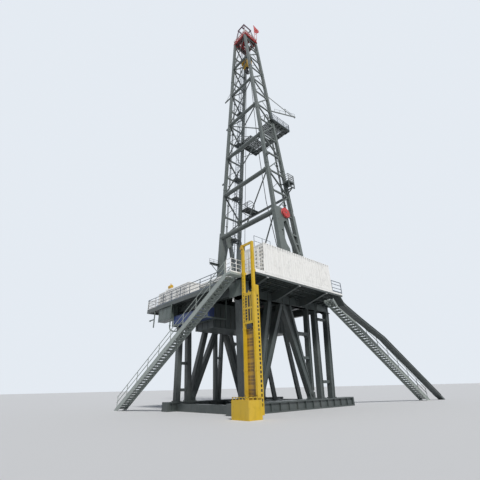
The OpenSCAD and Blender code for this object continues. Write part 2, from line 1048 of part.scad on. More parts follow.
// the slotted side of the near post, under the platform
module rack_side() {
    h = floor_under - arm_h - 2 * lift_z;
    difference() {
        translate([100, 0, 0])
            cube([150, 24, h]);
        for (i = [0 : 13])
            translate([140, -1, 200 + i * (h - 400) / 14])
                cube([70, 26, (h - 400) / 24]);
    }
}

cage_z = 2700;
module lift_carriage() {
    color(yellow_c)
        translate([lift_x + 5, lift_y - lift_post - lift_w + 6, cage_z])
            difference() {
                cube([80, lift_w - 12, cage_h]);
                for (z = [0.08, 0.52])
                    translate([-1, 40, z * cage_h])
                        cube([61, lift_w - 92, 0.38 * cage_h]);
            }
}

stair_n = floor(floor_top / stair_rise);
stair_tan = stair_rise / stair_run;
stair_len = floor_top / stair_tan;
side_t = 24;

// a stair's side plate; drawings of a stair start at its top
module stringer_2d() {
    intersection() {
        strip([-300, floor_top + 300 * stair_tan - 60],
            [stair_len + 300, -300 * stair_tan - 60], stringer);
        square([stair_len + 200, floor_top]);
    }
}

module stair_rail_2d() {
    n = 9;
    difference() {
        union() {
            for (i = [0 : n]) {
                s = 60 + i * (stair_len - 260) / n;
                translate([s, floor_top - s * stair_tan])
                    square([rail_t, 500]);
            }
            for (h = [260, 490])
                strip([40, floor_top - 40 * stair_tan + h],
                    [stair_len - 120, 120 * stair_tan + h], rail_t);
        }
        stringer_2d();
    }
}

// puts a drawing on both sides of the rear stair and of the front stair
module both_stairs(t) {
    for (k = [0, 1]) {
        translate([stair_x - k * stair_w, landing_y, 0])
            crosswise(t)
                children();
        translate([front_x, front_y - k * stair_w, 0])
            upright(t)
                children();
    }
}

front_y = -floor_right - side_t - 8;
module stair_stringers() {
    color(grey_c) {
        both_stairs(side_t)
            stringer_2d();
        translate([stair_x - stair_w - side_t / 2, landing_y - landing, floor_under])
            cube([stair_w + side_t / 2 - floor_rear - stair_x, landing + 1, floor_t]);
    }
}

module stair_rails() {
    color(grey_c)
        both_stairs(20)
            stair_rail_2d();
}

tread = 140;
module stair_treads() {
    w = stair_w - side_t;
    color(grey_c)
        for (i = [1 : stair_n - 1]) {
            s = i * stair_run - 90;
            z = floor_top - i * stair_rise - 15;
            translate([stair_x - stair_w + side_t / 2, landing_y + s, z])
                cube([w, tread, 15]);
            translate([front_x + s, front_y - stair_w + side_t / 2, z])
                cube([tread, w, 15]);
        }
}

// an open chute that runs down to the ground beside the front stair
chute_run = [0, 325, 1725, 3675];
chute_fall = [0, 400, 950, 1650];
chute_tan = 0.5115;
chute_side = 60;
chute_deep = 60;
chute_t = 30;
module chute_2d(up) {
    z0 = floor_top + up;
    last = chute_run[3];
    x1 = last + (z0 + chute_side - chute_fall[3]) / chute_tan;
    x0 = last + (z0 - chute_deep - chute_fall[3]) / chute_tan;
    polygon(concat([for (i = [0 : 3]) [chute_run[i], z0 + chute_side - chute_fall[i]]],
        [[x1, 0], [x0, 0]],
        [for (i = [3 : -1 : 0]) [chute_run[i], z0 - chute_deep - chute_fall[i]]]));
}

module front_chute() {
    color(sub_c)
        translate([front_x, chute_y - chute_w / 2, 0])
            difference() {
                upright(chute_w)
                    chute_2d(0);
                upright(chute_w - 40)
                    chute_2d(chute_t);
            }
}

base_skids();
base_cross();
columns();
legs_right();
legs_left();
girders_long();
girders_cross();
lower_box();
floor_plate();
house_platform();
doghouse();
doghouse_door();
rails_rear();
rails_left();
rails_front();
drawworks();
rotary_table();
hung_cabinet();
tank_cradle();
under_tank();
mast_right();
mast_left();
mast_tubes();
mast_braces();
sheave_right();
sheave_left();
stabbing_board();
side_platform();
racking_board();
racking_rails();
racking_jib();
crown_frame();
crown_sheaves();
crown_rails();
gin_frame();
travelling_block();
hook();
drill_lines();
anchor_lines();
lift_frame();
lift_carriage();
stair_stringers();
stair_treads();
stair_rails();
front_chute();
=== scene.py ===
import json
from math import atan, ceil, cos, hypot, pi, radians, sin

import bpy
from mathutils import Matrix, Vector


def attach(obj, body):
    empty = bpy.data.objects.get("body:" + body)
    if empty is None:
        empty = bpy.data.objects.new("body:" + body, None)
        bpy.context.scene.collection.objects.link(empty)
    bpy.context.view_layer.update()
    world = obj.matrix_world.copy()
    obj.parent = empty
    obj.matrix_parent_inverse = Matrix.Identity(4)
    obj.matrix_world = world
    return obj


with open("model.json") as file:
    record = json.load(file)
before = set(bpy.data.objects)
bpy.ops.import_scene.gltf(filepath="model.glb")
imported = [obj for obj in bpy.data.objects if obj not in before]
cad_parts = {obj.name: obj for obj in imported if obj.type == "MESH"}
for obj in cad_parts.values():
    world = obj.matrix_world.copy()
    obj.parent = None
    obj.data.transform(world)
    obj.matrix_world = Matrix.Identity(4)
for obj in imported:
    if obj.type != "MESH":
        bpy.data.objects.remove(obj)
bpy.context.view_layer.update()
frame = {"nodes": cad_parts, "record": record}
scene = bpy.context.scene


def put(name, data):
    obj = bpy.data.objects.new(name, data)
    scene.collection.objects.link(obj)
    return obj


# Camera: the photograph's viewpoint, in the rig's own frame
EYE = (-11.651, -11.697, 0.8085)
YAW, PITCH, ROLL = (radians(a) for a in (48.056, 29.509, -1.354))
LENS_MM, SENSOR_MM, SHIFT_Y, CLIP_END = 23.363, 36, -0.0587, 2000
forward = Vector((cos(PITCH) * cos(YAW), cos(PITCH) * sin(YAW), sin(PITCH)))
right = Vector((sin(YAW), -cos(YAW), 0))
up = right.cross(forward)
right, up = (right * cos(ROLL) + up * sin(ROLL), up * cos(ROLL) - right * sin(ROLL))
cam_data = bpy.data.cameras.new("camera")
cam_data.lens = LENS_MM
cam_data.sensor_width = SENSOR_MM
cam_data.shift_y = SHIFT_Y
cam_data.clip_end = CLIP_END
camera = put("camera", cam_data)
axes = Matrix((right, up, -forward)).transposed().to_4x4()
camera.matrix_world = Matrix.Translation(EYE) @ axes
scene.camera = camera

# Sizes of the construction, in metres: h is a height above the floor, z one above the ground
FLOOR = 4.55
MAST = 22.25  # from the floor to the crown
CROWN = FLOOR + MAST
DECK = CROWN + 0.16  # top of the crown's deck
FIRST = 4.42  # height of the mast's first tube
BAYS = 6
BAY = (MAST - FIRST) / BAYS
HALF_BASE, HALF_TOP = 2.645, 0.63  # half width of the mast, at its foot and top
LEAN = atan((HALF_BASE - HALF_TOP) / MAST)
REAR = -0.68  # x of the rear columns
FRONT_BASE, FRONT_TAPER = 0.8, 0.24  # x of the front columns, and how far it falls
PLATE = 0.115  # half thickness of the plates at the mast's foot
SKID_Y, SKID_TOP = 2.2, 0.35
GIRDER_Z0, GIRDER_Z1 = 4.07, 4.47
PLATFORM_Z = 4.4695  # just under the doghouse platform's plate
HOUSE_X0, HOUSE_X1, HOUSE_Y0, HOUSE_Y1 = -3.5, 0.825, -3.95, -2.85
HOUSE_TOP = FLOOR + 1.2
RIBS = 29  # upright ribs of the doghouse's long walls
RIB_PITCH = (HOUSE_X1 - HOUSE_X0) / RIBS
UP = Vector((0, 0, 1))
X_AXIS, Y_AXIS = (1, 0, 0), (0, 1, 0)


def half_at(h):
    """Half width of the mast."""
    return HALF_BASE - (HALF_BASE - HALF_TOP) * h / MAST


def front_at(h):
    """x of the front columns."""
    return FRONT_BASE - FRONT_TAPER * h / MAST


def at(side, x, h, off=0.0):
    """A point of a mast side: x along the rig, h up the leaning side, off outwards from its plane."""
    return Vector((x, side * (HALF_BASE + off * cos(LEAN) - h * sin(LEAN)),
                   FLOOR + off * sin(LEAN) + h * cos(LEAN)))


def out_of(side):
    return Vector((0, side * cos(LEAN), sin(LEAN)))


def up_along(side):
    return Vector((0, -side * sin(LEAN), cos(LEAN)))


def circle(n, shift=0.0):
    """(cos, sin) of n even steps round a circle; shift is in steps."""
    return [(cos(2 * pi * (k + shift) / n), sin(2 * pi * (k + shift) / n)) for k in range(n)]


def span(centre, half):
    return centre - half, centre + half


def row(n, first, step):
    return [first + i * step for i in range(n)]


HALF_CIRCLE = circle(16)[:9]


# Mesh builder
class Build:
    """Collects simple solids into one mesh."""

    def __init__(self):
        self.v, self.f = [], []

    def add(self, points, faces):
        n = len(self.v)
        self.v += [tuple(p) for p in points]
        self.f += [tuple(n + i for i in f) for f in faces]

    def box(self, xs, ys, zs):
        """From three ranges, each given as two ends in any order."""
        (x0, x1), (y0, y1), zs = sorted(xs), sorted(ys), sorted(zs)
        self.add([(x, y, z) for z in zs for x, y in ((x0, y0), (x1, y0), (x1, y1), (x0, y1))],
                 [(0, 3, 2, 1), (4, 5, 6, 7), (0, 1, 5, 4), (1, 2, 6, 5), (2, 3, 7, 6), (3, 0, 4, 7)])

    def prism(self, a, b, section, ref=UP):
        """A section of (u, v) points swept from a to b; v leans towards ref."""
        a, b = Vector(a), Vector(b)
        d = (b - a).normalized()
        ref = Vector(ref)
        if abs(d.dot(ref)) > 0.98:
            ref = Vector(X_AXIS if abs(d.x) < 0.9 else Y_AXIS)
        u = d.cross(ref).normalized()
        v = u.cross(d).normalized()
        n = len(section)
        ring = [u * p[0] + v * p[1] for p in section]
        self.add([a + r for r in ring] + [b + r for r in ring],
                 [tuple(range(n - 1, -1, -1)), tuple(range(n, 2 * n))]
                 + [(i, (i + 1) % n, n + (i + 1) % n, n + i) for i in range(n)])

    def bar(self, a, b, w, t, ref=UP):
        self.prism(a, b, [(-w / 2, -t / 2), (w / 2, -t / 2), (w / 2, t / 2), (-w / 2, t / 2)], ref)

    def rod(self, a, b, r, n=8):
        self.prism(a, b, [(r * c, r * s) for c, s in circle(n)])

    def post(self, x, y, z0, z1, r, n=8):
        self.rod((x, y, z0), (x, y, z1), r, n)

    def beam(self, a, b, w, h, t, ref=UP):
        """An I section."""
        w, h, q = w / 2, h / 2, t / 2
        i = h - t
        self.prism(a, b, [(-w, -h), (w, -h), (w, -i), (q, -i), (q, i), (w, i), (w, h), (-w, h), (-w, i),
                          (-q, i), (-q, -i), (-w, -i)], ref)

    def plate(self, points, d, t):
        """A flat outline thickened along d, centred on its points."""
        half = Vector(d).normalized() * t / 2
        n = len(points)
        points = [Vector(p) for p in points]
        self.add([p - half for p in points] + [p + half for p in points],
                 [tuple(range(n)), tuple(range(2 * n - 1, n - 1, -1))]
                 + [(i, n + i, n + (i + 1) % n, (i + 1) % n) for i in range(n)])

    def bolt(self, p, d, r=0.011, h=0.009):
        """A hexagon head on a round washer."""
        p, d = Vector(p), Vector(d).normalized()
        self.rod(p - d * 0.003, p + d * h * 0.35, r * 1.45, 8)
        self.rod(p, p + d * h, r, 6)

    def pipe(self, points, r, n=8):
        for a, b in zip(points[:-1], points[1:]):
            self.rod(a, b, r, n)

    def disc(self, p, d, r, t, n=20):
        d = Vector(d).normalized()
        self.rod(Vector(p) - d * t / 2, Vector(p) + d * t / 2, r, n)

    def ring(self, p, d, r0, r1, t, n=32):
        """A flat washer centred on p."""
        d = Vector(d).normalized()
        u = d.cross(UP if abs(d.z) < 0.9 else Vector(X_AXIS)).normalized()
        v = u.cross(d)
        points = []
        for z, r in ((-t / 2, r0), (-t / 2, r1), (t / 2, r1), (t / 2, r0)):
            points += [Vector(p) + d * z + (u * c + v * s) * r for c, s in circle(n)]
        faces = []
        for k in range(4):
            a, b = k * n, (k + 1) % 4 * n
            faces += [(a + i, a + (i + 1) % n, b + (i + 1) % n, b + i) for i in range(n)]
        self.add(points, faces)

    def piece(self, name, material, bevel=0.0, body="rig"):
        mesh = bpy.data.meshes.new(name)
        mesh.from_pydata(self.v, [], self.f)
        mesh.validate()
        mesh.update()
        obj = put(name, mesh)
        obj.data.materials.append(material)
        if bevel:
            mod = obj.modifiers.new("edge", "BEVEL")
            mod.width = bevel
            mod.segments = 2
            mod.limit_method = "ANGLE"
        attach(obj, body)


def railing(build, a, b, r_post, gap=0.45):
    """Posts, bars and a kick plate between two points of a floor."""
    height, kick = 0.52, 0.05
    a, b = Vector(a), Vector(b)
    n = max(1, ceil((b - a).length / gap))
    for i in range(n + 1):
        q = a + (b - a) * i / n
        build.rod(q, q + UP * height, r_post)
    for s in (0.34, 0.66, 1.0):
        build.rod(a + UP * height * s, b + UP * height * s, r_post * 0.85)
    build.bar(a + UP * (kick / 2 + 0.002), b + UP * (kick / 2 + 0.002), 0.006, kick)


# Materials
PRIMER = (0.14, 0.07, 0.04)
looks, slot_of = {}, {}


def node(tree, kind, inputs, **settings):
    """A new shader node; each input takes a value or the socket that feeds it."""
    n = tree.nodes.new("ShaderNode" + kind)
    for key, value in settings.items():
        setattr(n, key, value)
    for key, value in inputs.items():
        if isinstance(value, bpy.types.NodeSocket):
            tree.links.new(value, n.inputs[key])
        else:
            n.inputs[key].default_value = value
    return n


def paint(name, colour, rough=0.42, dirt=(0.1, 0.085, 0.07), grime=0.35, chips=0.25, coat=0.15,
          bump=0.25, metallic=0.0, ribs=None, tread=0.0, slot=None):
    """Painted steel: faded patches, rain streaks, dirt, chips down to primer, fine orange peel.

    ribs gives pitch and centre of upright grooves, darkened along them as painted shade; tread raises a
    floor's pattern;
    slot is the record's, where the name differs."""
    m = bpy.data.materials.new(name)
    looks[name], slot_of[m.name] = m, slot or name
    m.use_nodes = True
    t = m.node_tree
    b = t.nodes["Principled BSDF"]
    link = t.links.new
    where = node(t, "TexCoord", {}).outputs["Object"]

    def noise(scale, detail, stretch=(1, 1, 1)):
        mapped = node(t, "Mapping", {"Scale": stretch, "Vector": where}).outputs[0]
        return node(t, "TexNoise", {"Scale": scale, "Detail": detail, "Roughness": 0.55,
                                    "Vector": mapped}).outputs["Fac"]

    def ramp(value, lo, hi, to=(0, 1)):
        return node(t, "MapRange", {"From Min": lo, "From Max": hi, "To Min": to[0], "To Max": to[1],
                                    "Value": value}).outputs[0]

    def mix(fac, a, c):
        a, c = ((*v, 1) if isinstance(v, tuple) else v for v in (a, c))
        return node(t, "Mix", {0: fac, 6: a, 7: c}, data_type="RGBA").outputs[2]

    def combine(kind, a, c):
        return node(t, "Math", {0: a, 1: c}, operation=kind).outputs[0]

    faded = tuple(min(1.0, 0.035 + c * 0.95) for c in colour)
    dark = tuple(c * 0.7 for c in colour)
    streaks = noise(3.2, 5, (3.2, 3.2, 0.16))
    base = mix(ramp(noise(0.7, 3), 0.35, 0.68), faded, colour)
    base = mix(ramp(noise(5, 4), 0.52, 0.75, (0, 0.55)), base, dark)
    base = mix(ramp(streaks, 0.52, 0.78, (0, grime)), base, dirt)
    base = mix(ramp(noise(26, 4), 0.64, 0.7, (0, chips)), base, PRIMER)
    # upright bands darkened along the wall grooves: painted shade
    if ribs:
        pitch_m, centre = ribs
        phase = pi * (1 - 2 * centre / pitch_m) % (2 * pi)
        wave = node(t, "TexWave", {"Scale": pi / (10 * pitch_m), "Phase Offset": phase, "Vector": where})
        base = mix(ramp(wave.outputs["Fac"], 0.55, 0.95, (0, 0.3)), base, dark)
    link(base, b.inputs["Base Color"])
    link(ramp(noise(9, 5), 0.3, 0.75, (rough - 0.09, rough + 0.16)), b.inputs["Roughness"])
    b.inputs["Metallic"].default_value = metallic
    b.inputs["Coat Weight"].default_value = coat
    b.inputs["Coat Roughness"].default_value = 0.25
    height = combine("ADD", combine("MULTIPLY", noise(120, 2), 0.25), noise(4, 3))
    if tread:
        cell = node(t, "TexVoronoi", {"Scale": 26, "Randomness": 0.15, "Vector": where})
        height = combine("ADD", height, ramp(cell.outputs["Distance"], 0.15, 0.35, (tread, 0)))
    relief = node(t, "Bump", {"Strength": bump, "Distance": 0.006, "Height": height})
    link(relief.outputs[0], b.inputs["Normal"])
    return m


MAST_PAINT = paint("mast_paint", (0.092, 0.112, 0.106), grime=0.34)
# braces, landings and boards: a darker copy of the mast paint, as painted shade
SHADED_BRACE_PAINT = paint("shaded_brace_paint", (0.062, 0.077, 0.075), grime=0.34, slot="mast_paint")
SUB_PAINT = paint("substructure", (0.042, 0.056, 0.055), grime=0.3)
DECK_PAINT = paint("deck_paint", (0.05, 0.064, 0.062), grime=0.45, chips=0.45, tread=1.2, bump=0.5)
WHITE = paint("white_paint", (0.8, 0.8, 0.78), dirt=(0.25, 0.22, 0.18), grime=0.18, chips=0.08, rough=0.36)
# the doghouse's white, darkened along its wall grooves as painted shade
HOUSE_WHITE = paint("house_white", (0.8, 0.8, 0.78), dirt=(0.28, 0.25, 0.21), grime=0.16,
                    chips=0.08, rough=0.36, ribs=(RIB_PITCH, HOUSE_X0 + RIB_PITCH / 2))
RED = paint("red_paint", (0.46, 0.022, 0.02), grime=0.28, coat=0.1)
YELLOW = paint("yellow_paint", (0.58, 0.38, 0.006), grime=0.26, rough=0.42, coat=0.04)
GREY = paint("grey_paint", (0.3, 0.34, 0.32))
VENT = paint("vent_paint", (0.3, 0.31, 0.3), slot="grey_paint")
CABINET = paint("cabinet_paint", (0.085, 0.11, 0.102), grime=0.3, slot="grey_paint")
RAIL = paint("rail_paint", (0.075, 0.1, 0.13), grime=0.3)
SHADED_YELLOW = paint("shaded_yellow", (0.2, 0.108, 0.01), slot="yellow_paint")
# the lift's mesh sheet: the yellow paint darkened as painted shade from the lift's columns
SHADED_MESH_YELLOW = paint("shaded_mesh_paint", (0.43, 0.245, 0.01), slot="yellow_paint")
ORANGE = paint("hoist_paint", (0.56, 0.33, 0.012), grime=0.3, slot="yellow_paint")
# the travelling block: the yellow paint darkened as painted shade
SHADED_BLOCK_YELLOW = paint("shaded_block_paint", (0.5, 0.29, 0.014), slot="yellow_paint")
# the crown's underside: the red paint darkened as painted shade
SHADED_RED = paint("shaded_red", (0.075, 0.012, 0.014), grime=0.3, slot="red_paint")
BLUE = paint("blue_paint", (0.006, 0.032, 0.155), grime=0.25)
# near black for recesses, slots and pockets: painted shade
RECESS_SHADE = paint("recess_shade", (0.004, 0.002, 0.001), grime=0.1, chips=0.02, rough=0.75, slot="dark_steel")
DARK = paint("dark_steel", (0.03, 0.03, 0.034), metallic=0.5, rough=0.4)
PURPLE = paint("purple_paint", (0.085, 0.032, 0.06))
WIRE = paint("wire_rope", (0.035, 0.035, 0.038), metallic=0.6, rough=0.45, bump=0.5)
special = {"drill_lines": WIRE, "anchor_lines": WIRE, "doghouse": HOUSE_WHITE, "floor_plate": DECK_PAINT,
           "hung_cabinet": CABINET, "tank_cradle": CABINET, "travelling_block": SHADED_BLOCK_YELLOW,
           "mast_braces": SHADED_BRACE_PAINT, "side_platform": SHADED_BRACE_PAINT, "stabbing_board": SHADED_BRACE_PAINT}
for part in frame["record"]["subparts"]:
    materials = frame["nodes"][part["node"]].data.materials
    materials.clear()
    materials.append(special.get(part["node"], looks[part["material_slot"]]))

# Mast: gussets, splices and their bolts
FOOT_TOP = FIRST + 0.31  # the foot plates reach up to here
FRONT_FOOT = 1.5  # and begin here on the front columns
SIDE_LEN = MAST / cos(LEAN)
SPLICES = (7.9, 12.9, 17.9)
FOOT_BOLTS = (0.35, 1.2, 2.2, 3.1, 3.9)
gussets = Build()
bolts = Build()
for side in (-1, 1):
    out, upward = out_of(side), up_along(side)
    for i in range(2 * BAYS):
        h = FIRST + i * BAY / 2
        if h < FOOT_TOP:
            continue
        for x, s, wide in ((REAR, 1, i % 2 == 0), (front_at(h), -1, i % 2 == 1)):
            c = at(side, x + s * 0.085, h)
            away = Vector((s * (0.19 if wide else 0.12), 0, 0))
            gussets.plate([c + upward * 0.19, c + away + upward * 0.06, c + away - upward * 0.06,
                           c - upward * 0.19], out, 0.092)
            for z in (-0.1, -0.03, 0.04, 0.11):
                bolts.bolt(c + Vector((s * 0.04, 0, 0)) + out * 0.046 + upward * z, out)
    for h in SPLICES:
        for x in (REAR, front_at(h)):
            gussets.bar(at(side, x, h - 0.1), at(side, x, h + 0.1), 0.2, 0.2, X_AXIS)
            for z in (-0.06, 0.06):
                for o in (-0.06, 0.06):
                    bolts.bolt(at(side, x + o, h + z, 0.1), out, 0.013, 0.013)
    for h in FOOT_BOLTS:
        for o in (-0.07, 0.07):
            bolts.bolt(at(side, REAR + o, h, PLATE), out, 0.016, 0.014)
            if h > FRONT_FOOT:
                bolts.bolt(at(side, front_at(h) + o * 0.8, h, PLATE), out, 0.014, 0.012)
gussets.piece("mast_gussets", MAST_PAINT, 0.004)

# edge strips above the foot, which make the columns read as rolled sections
STRIP_H, STRIP_SHARE = 4.85, 0.215  # where they begin, in metres and as a share of the column
STRIP_X, STRIP_OFF = 0.078, 0.091
strips = Build()
for side in (-1, 1):
    for foot, head in ((REAR, REAR), (front_at(0), front_at(MAST))):
        start = foot + (head - foot) * STRIP_SHARE
        for o in (-STRIP_X, STRIP_X):
            for off in (-STRIP_OFF, STRIP_OFF):
                strips.bar(at(side, start + o, STRIP_H, off), at(side, head + o, SIDE_LEN - 0.2, off),
                           0.014, 0.018, out_of(side))
strips.piece("column_edges", MAST_PAINT)

# a short stay from each beam's end to the middle of the diagonal, and two bars at the foot
small = Build()
for side in (-1, 1):
    for i in range(2 * BAYS):
        h = FIRST + i * BAY / 2
        mid = h + BAY / 4
        x = front_at(h) - 0.08 if i % 2 == 0 else REAR + 0.08
        small.rod(at(side, x, h + 0.05), at(side, (REAR + front_at(mid)) / 2, mid), 0.018)
    for h in (0.55, 0.95):
        small.bar(at(side, REAR + 0.5, h), at(side, front_at(h), h), 0.05, 0.05)
small.piece("mast_small_bracing", SHADED_BRACE_PAINT)

# Mast: the left side's ladder with its cage, landings, standpipes on both sides
LADDER_TOP = MAST - 0.35
LADDER_OFF, LADDER_HALF = -0.13, 0.1
RUNG_LOW, RUNG_PITCH = 0.1, 0.15
CAGE_LOW, HOOP_PITCH, HOOPS = 1.4, 0.6, 31  # the cage ends below the travelling block's space
CAGE_HIGH = CAGE_LOW + HOOP_PITCH * (HOOPS - 1)
CAGE_OFF, CAGE_R = -0.31, 0.17
ladder = Build()


def ladder_x(h):
    return 0.18 - 0.13 * h / LADDER_TOP


for o in (-LADDER_HALF, LADDER_HALF):
    ladder.bar(at(1, ladder_x(0) + o, RUNG_LOW, LADDER_OFF),
               at(1, ladder_x(LADDER_TOP) + o, LADDER_TOP, LADDER_OFF), 0.03, 0.016, Y_AXIS)
for h in row(int(LADDER_TOP / RUNG_PITCH), RUNG_LOW, RUNG_PITCH)[1:]:
    ladder.rod(at(1, ladder_x(h) - LADDER_HALF, h, LADDER_OFF),
               at(1, ladder_x(h) + LADDER_HALF, h, LADDER_OFF), 0.007, 6)
for h in row(HOOPS, CAGE_LOW, HOOP_PITCH):
    x = ladder_x(h)
    ladder.pipe([at(1, x + CAGE_R, h, LADDER_OFF)]
                + [at(1, x + CAGE_R * c, h, CAGE_OFF - CAGE_R * s) for c, s in HALF_CIRCLE]
                + [at(1, x - CAGE_R, h, LADDER_OFF)], 0.007, 5)
for c, s in HALF_CIRCLE[2:7:2]:
    ladder.rod(at(1, ladder_x(CAGE_LOW) + CAGE_R * c, CAGE_LOW, CAGE_OFF - CAGE_R * s),
               at(1, ladder_x(CAGE_HIGH) + CAGE_R * c, CAGE_HIGH, CAGE_OFF - CAGE_R * s), 0.006, 5)
for i in range(14):
    h = 0.9 + i * BAY / 2
    ladder.rod(at(1, ladder_x(h), h, LADDER_OFF), at(1, ladder_x(h), h), 0.012, 6)
ladder.piece("mast_ladder", RAIL)

# small landings beside the ladder, each on a beam of the left side
REST_BAYS = (0, 1, 1.5, 2.5, 3.5)
REST_X0, REST_X1 = -0.1, 0.44
REST_IN, REST_OUT, REST_POST = -0.46, 0.03, -0.44
rests = Build()
for bays_up in REST_BAYS:
    h = FIRST + bays_up * BAY
    base, top = h + 0.045, h + 0.075
    rests.plate([at(1, x, base + 0.015, off) for x, off in (
        (REST_X0, REST_IN), (REST_X1, REST_IN), (REST_X1, REST_OUT), (REST_X0, REST_OUT))],
        up_along(1), 0.03)
    for x in (REST_X0 + 0.015, (REST_X0 + REST_X1) / 2, REST_X1 - 0.015):
        rests.rod(at(1, x, top, REST_POST), at(1, x, top + 0.46, REST_POST), 0.011, 6)
        rests.bar(at(1, x, h - 0.22, -0.035), at(1, x, base + 0.005, -0.42), 0.022, 0.022, X_AXIS)
    for z in (top + 0.22, top + 0.45):
        corner = at(1, REST_X0, z, REST_POST)
        rests.rod(corner, at(1, REST_X1, z, REST_POST), 0.01, 6)
        rests.rod(corner, at(1, REST_X0, z, -0.04), 0.01, 6)
rests.piece("ladder_landings", SHADED_BRACE_PAINT)

PIPE_OFF, PIPE_LEAN = -0.1, 0.03  # the pipes' plane, and the share that x falls by
STANDPIPES = ((-1, 0.46, 0.034, 13.0), (-1, 0.36, 0.022, 12.4), (1, -0.46, 0.026, 20.5),
              (1, -0.38, 0.018, 16.0))  # side, x at the foot, radius, top
pipes = Build()
for side, foot, r, top in STANDPIPES:
    pipes.pipe([at(side, foot, 0.05, PIPE_OFF), at(side, foot * (1 - PIPE_LEAN), top, PIPE_OFF)], r, 10)
    h = 0.8
    while h < top:
        x = foot * (1 - PIPE_LEAN * h / top)
        pipes.disc(at(side, x, h, PIPE_OFF), up_along(side), r * 1.5, 0.035, 12)
        pipes.bar(at(side, x - 0.05, h, -0.055), at(side, x + 0.05, h, -0.055), 0.03, 0.03)
        h += BAY / 2
pipes.pipe([at(-1, 0.447, 13.0, PIPE_OFF), at(-1, 0.43, 13.12, -0.16), at(-1, 0.38, 13.08, -0.3),
            at(-1, 0.36, 12.7, -0.38)], 0.034, 10)
pipes.piece("mast_standpipes", SUB_PAINT)

# flanges, bolts and gussets at the ends of the tubes between the sides
tubes = Build()
for i in range(BAYS):
    h = FIRST + i * BAY
    r = (0.29 - 0.022 * i) / 2
    for side in (-1, 1):
        y = side * (half_at(h) - 0.16)
        tubes.disc((REAR, y, FLOOR + h), Y_AXIS, r + 0.03, 0.03, 24)
        for c, s in circle(8, 0.5):
            bolts.bolt((REAR + (r + 0.014) * c, y - side * 0.015, FLOOR + h + (r + 0.014) * s),
                       (0, -side, 0), 0.008, 0.01)
        for s in (-1, 1):
            z = FLOOR + h + s * (r + 0.012)
            tubes.box(span(REAR, 0.004), (y, y - side * 0.2), span(z, 0.012))
tubes.piece("tube_flanges", MAST_PAINT, 0.003)
bolts.piece("mast_bolts", MAST_PAINT)

# a boom with a rail at the left rear column's foot, a stub beam near its top, lugs on the columns
BOOM_X0, BOOM_X1, BOOM_Y, BOOM_TOP = -1.45, -0.79, 2.4, 7.25
extras = Build()
extras.beam((BOOM_X0, BOOM_Y, BOOM_TOP - 0.05), (BOOM_X1, BOOM_Y, BOOM_TOP - 0.05), 0.1, 0.1, 0.014)
extras.box((BOOM_X0, BOOM_X1), span(BOOM_Y, 0.08), (BOOM_TOP, BOOM_TOP + 0.012))
for x in (-1.43, -1.12, -0.81):
    extras.post(x, BOOM_Y + 0.06, BOOM_TOP, BOOM_TOP + 0.27, 0.01)
for z in (BOOM_TOP + 0.15, BOOM_TOP + 0.27):
    extras.rod((-1.43, BOOM_Y + 0.06, z), (-0.81, BOOM_Y + 0.06, z), 0.009)
extras.rod((-1.35, BOOM_Y, 7.16), (BOOM_X1, BOOM_Y + 0.04, 6.75), 0.02)
extras.beam((REAR, 1.2, 20.8), (REAR, 1.98, 20.8), 0.07, 0.08, 0.012)
extras.rod((REAR, 1.9, 20.83), (REAR, 1.12, 21.45), 0.014)
for side, h in ((1, 13.15), (1, 8.4), (-1, 8.4)):
    y, z = half_at(h), FLOOR + h
    extras.plate([(REAR, side * (y + 0.07), z + 0.12), (REAR, side * (y + 0.34), z + 0.05),
                    (REAR, side * (y + 0.38), z - 0.03), (REAR, side * (y + 0.07), z - 0.12)], X_AXIS, 0.05)
    extras.disc((REAR, side * (y + 0.3), z + 0.01), X_AXIS, 0.045, 0.09, 18)
extras.piece("mast_fittings", MAST_PAINT, 0.002)

# covers over the webs of the mast's two large sheaves
SHEAVE_H, SHEAVE_OFF = FIRST + 0.03, PLATE + 0.098
for side, body in ((-1, "sheave_right"), (1, "sheave_left")):
    cover = Build()
    out = out_of(side)
    centre = at(side, 0.0, SHEAVE_H, SHEAVE_OFF)
    cover.ring(centre, out, 0.052, 0.236, 0.01, 40)
    for c, s in circle(6):
        arm = Vector((c, 0, 0)) + up_along(side) * s
        cover.bolt(centre + arm * 0.2 + out * 0.005, out, 0.012, 0.008)
        cover.bolt(centre + arm * 0.085 + out * 0.005, out, 0.008, 0.006)
    cover.piece(body + "_cover", RED, body=body)

# Stabbing board: bars round its arched rails, its curved underside
BOARD_Y0, BOARD_Y1 = 0.33, 0.95
BOARD_Z = FLOOR + FIRST + BAY / 2 + 0.055
ARCH_X, ARCH_Z, ARCH_R = 0.11, BOARD_Z + 0.28, 0.298
board = Build()
for c, s in circle(12)[1:6]:
    x, z = ARCH_X + ARCH_R * c, ARCH_Z + ARCH_R * s
    board.bar((x, BOARD_Y0 + 0.01, z), (x, BOARD_Y1 - 0.01, z), 0.02, 0.02)
for z in (BOARD_Z + 0.12, BOARD_Z + 0.25):
    for x in (-0.19, 0.41):
        board.rod((x, BOARD_Y0 + 0.01, z), (x, BOARD_Y1 - 0.01, z), 0.01)
for x in row(9, -0.17, 0.095):
    board.box(span(x, 0.01), (BOARD_Y0 + 0.02, BOARD_Y1 - 0.02), (BOARD_Z - 0.03, BOARD_Z + 0.001))
KEEL = [(0.52 - 0.7 * s, BOARD_Z - 0.14 + 0.13 * s ** 2) for c, s in circle(20)[:6]]
for y in (BOARD_Y0 + 0.02, BOARD_Y1 - 0.02):
    for (x0, z0), (x1, z1) in zip(KEEL[:-1], KEEL[1:]):
        board.bar((x1, y, z1), (x0, y, z0), 0.016, 0.045)
board.piece("stabbing_board_bars", SHADED_BRACE_PAINT)

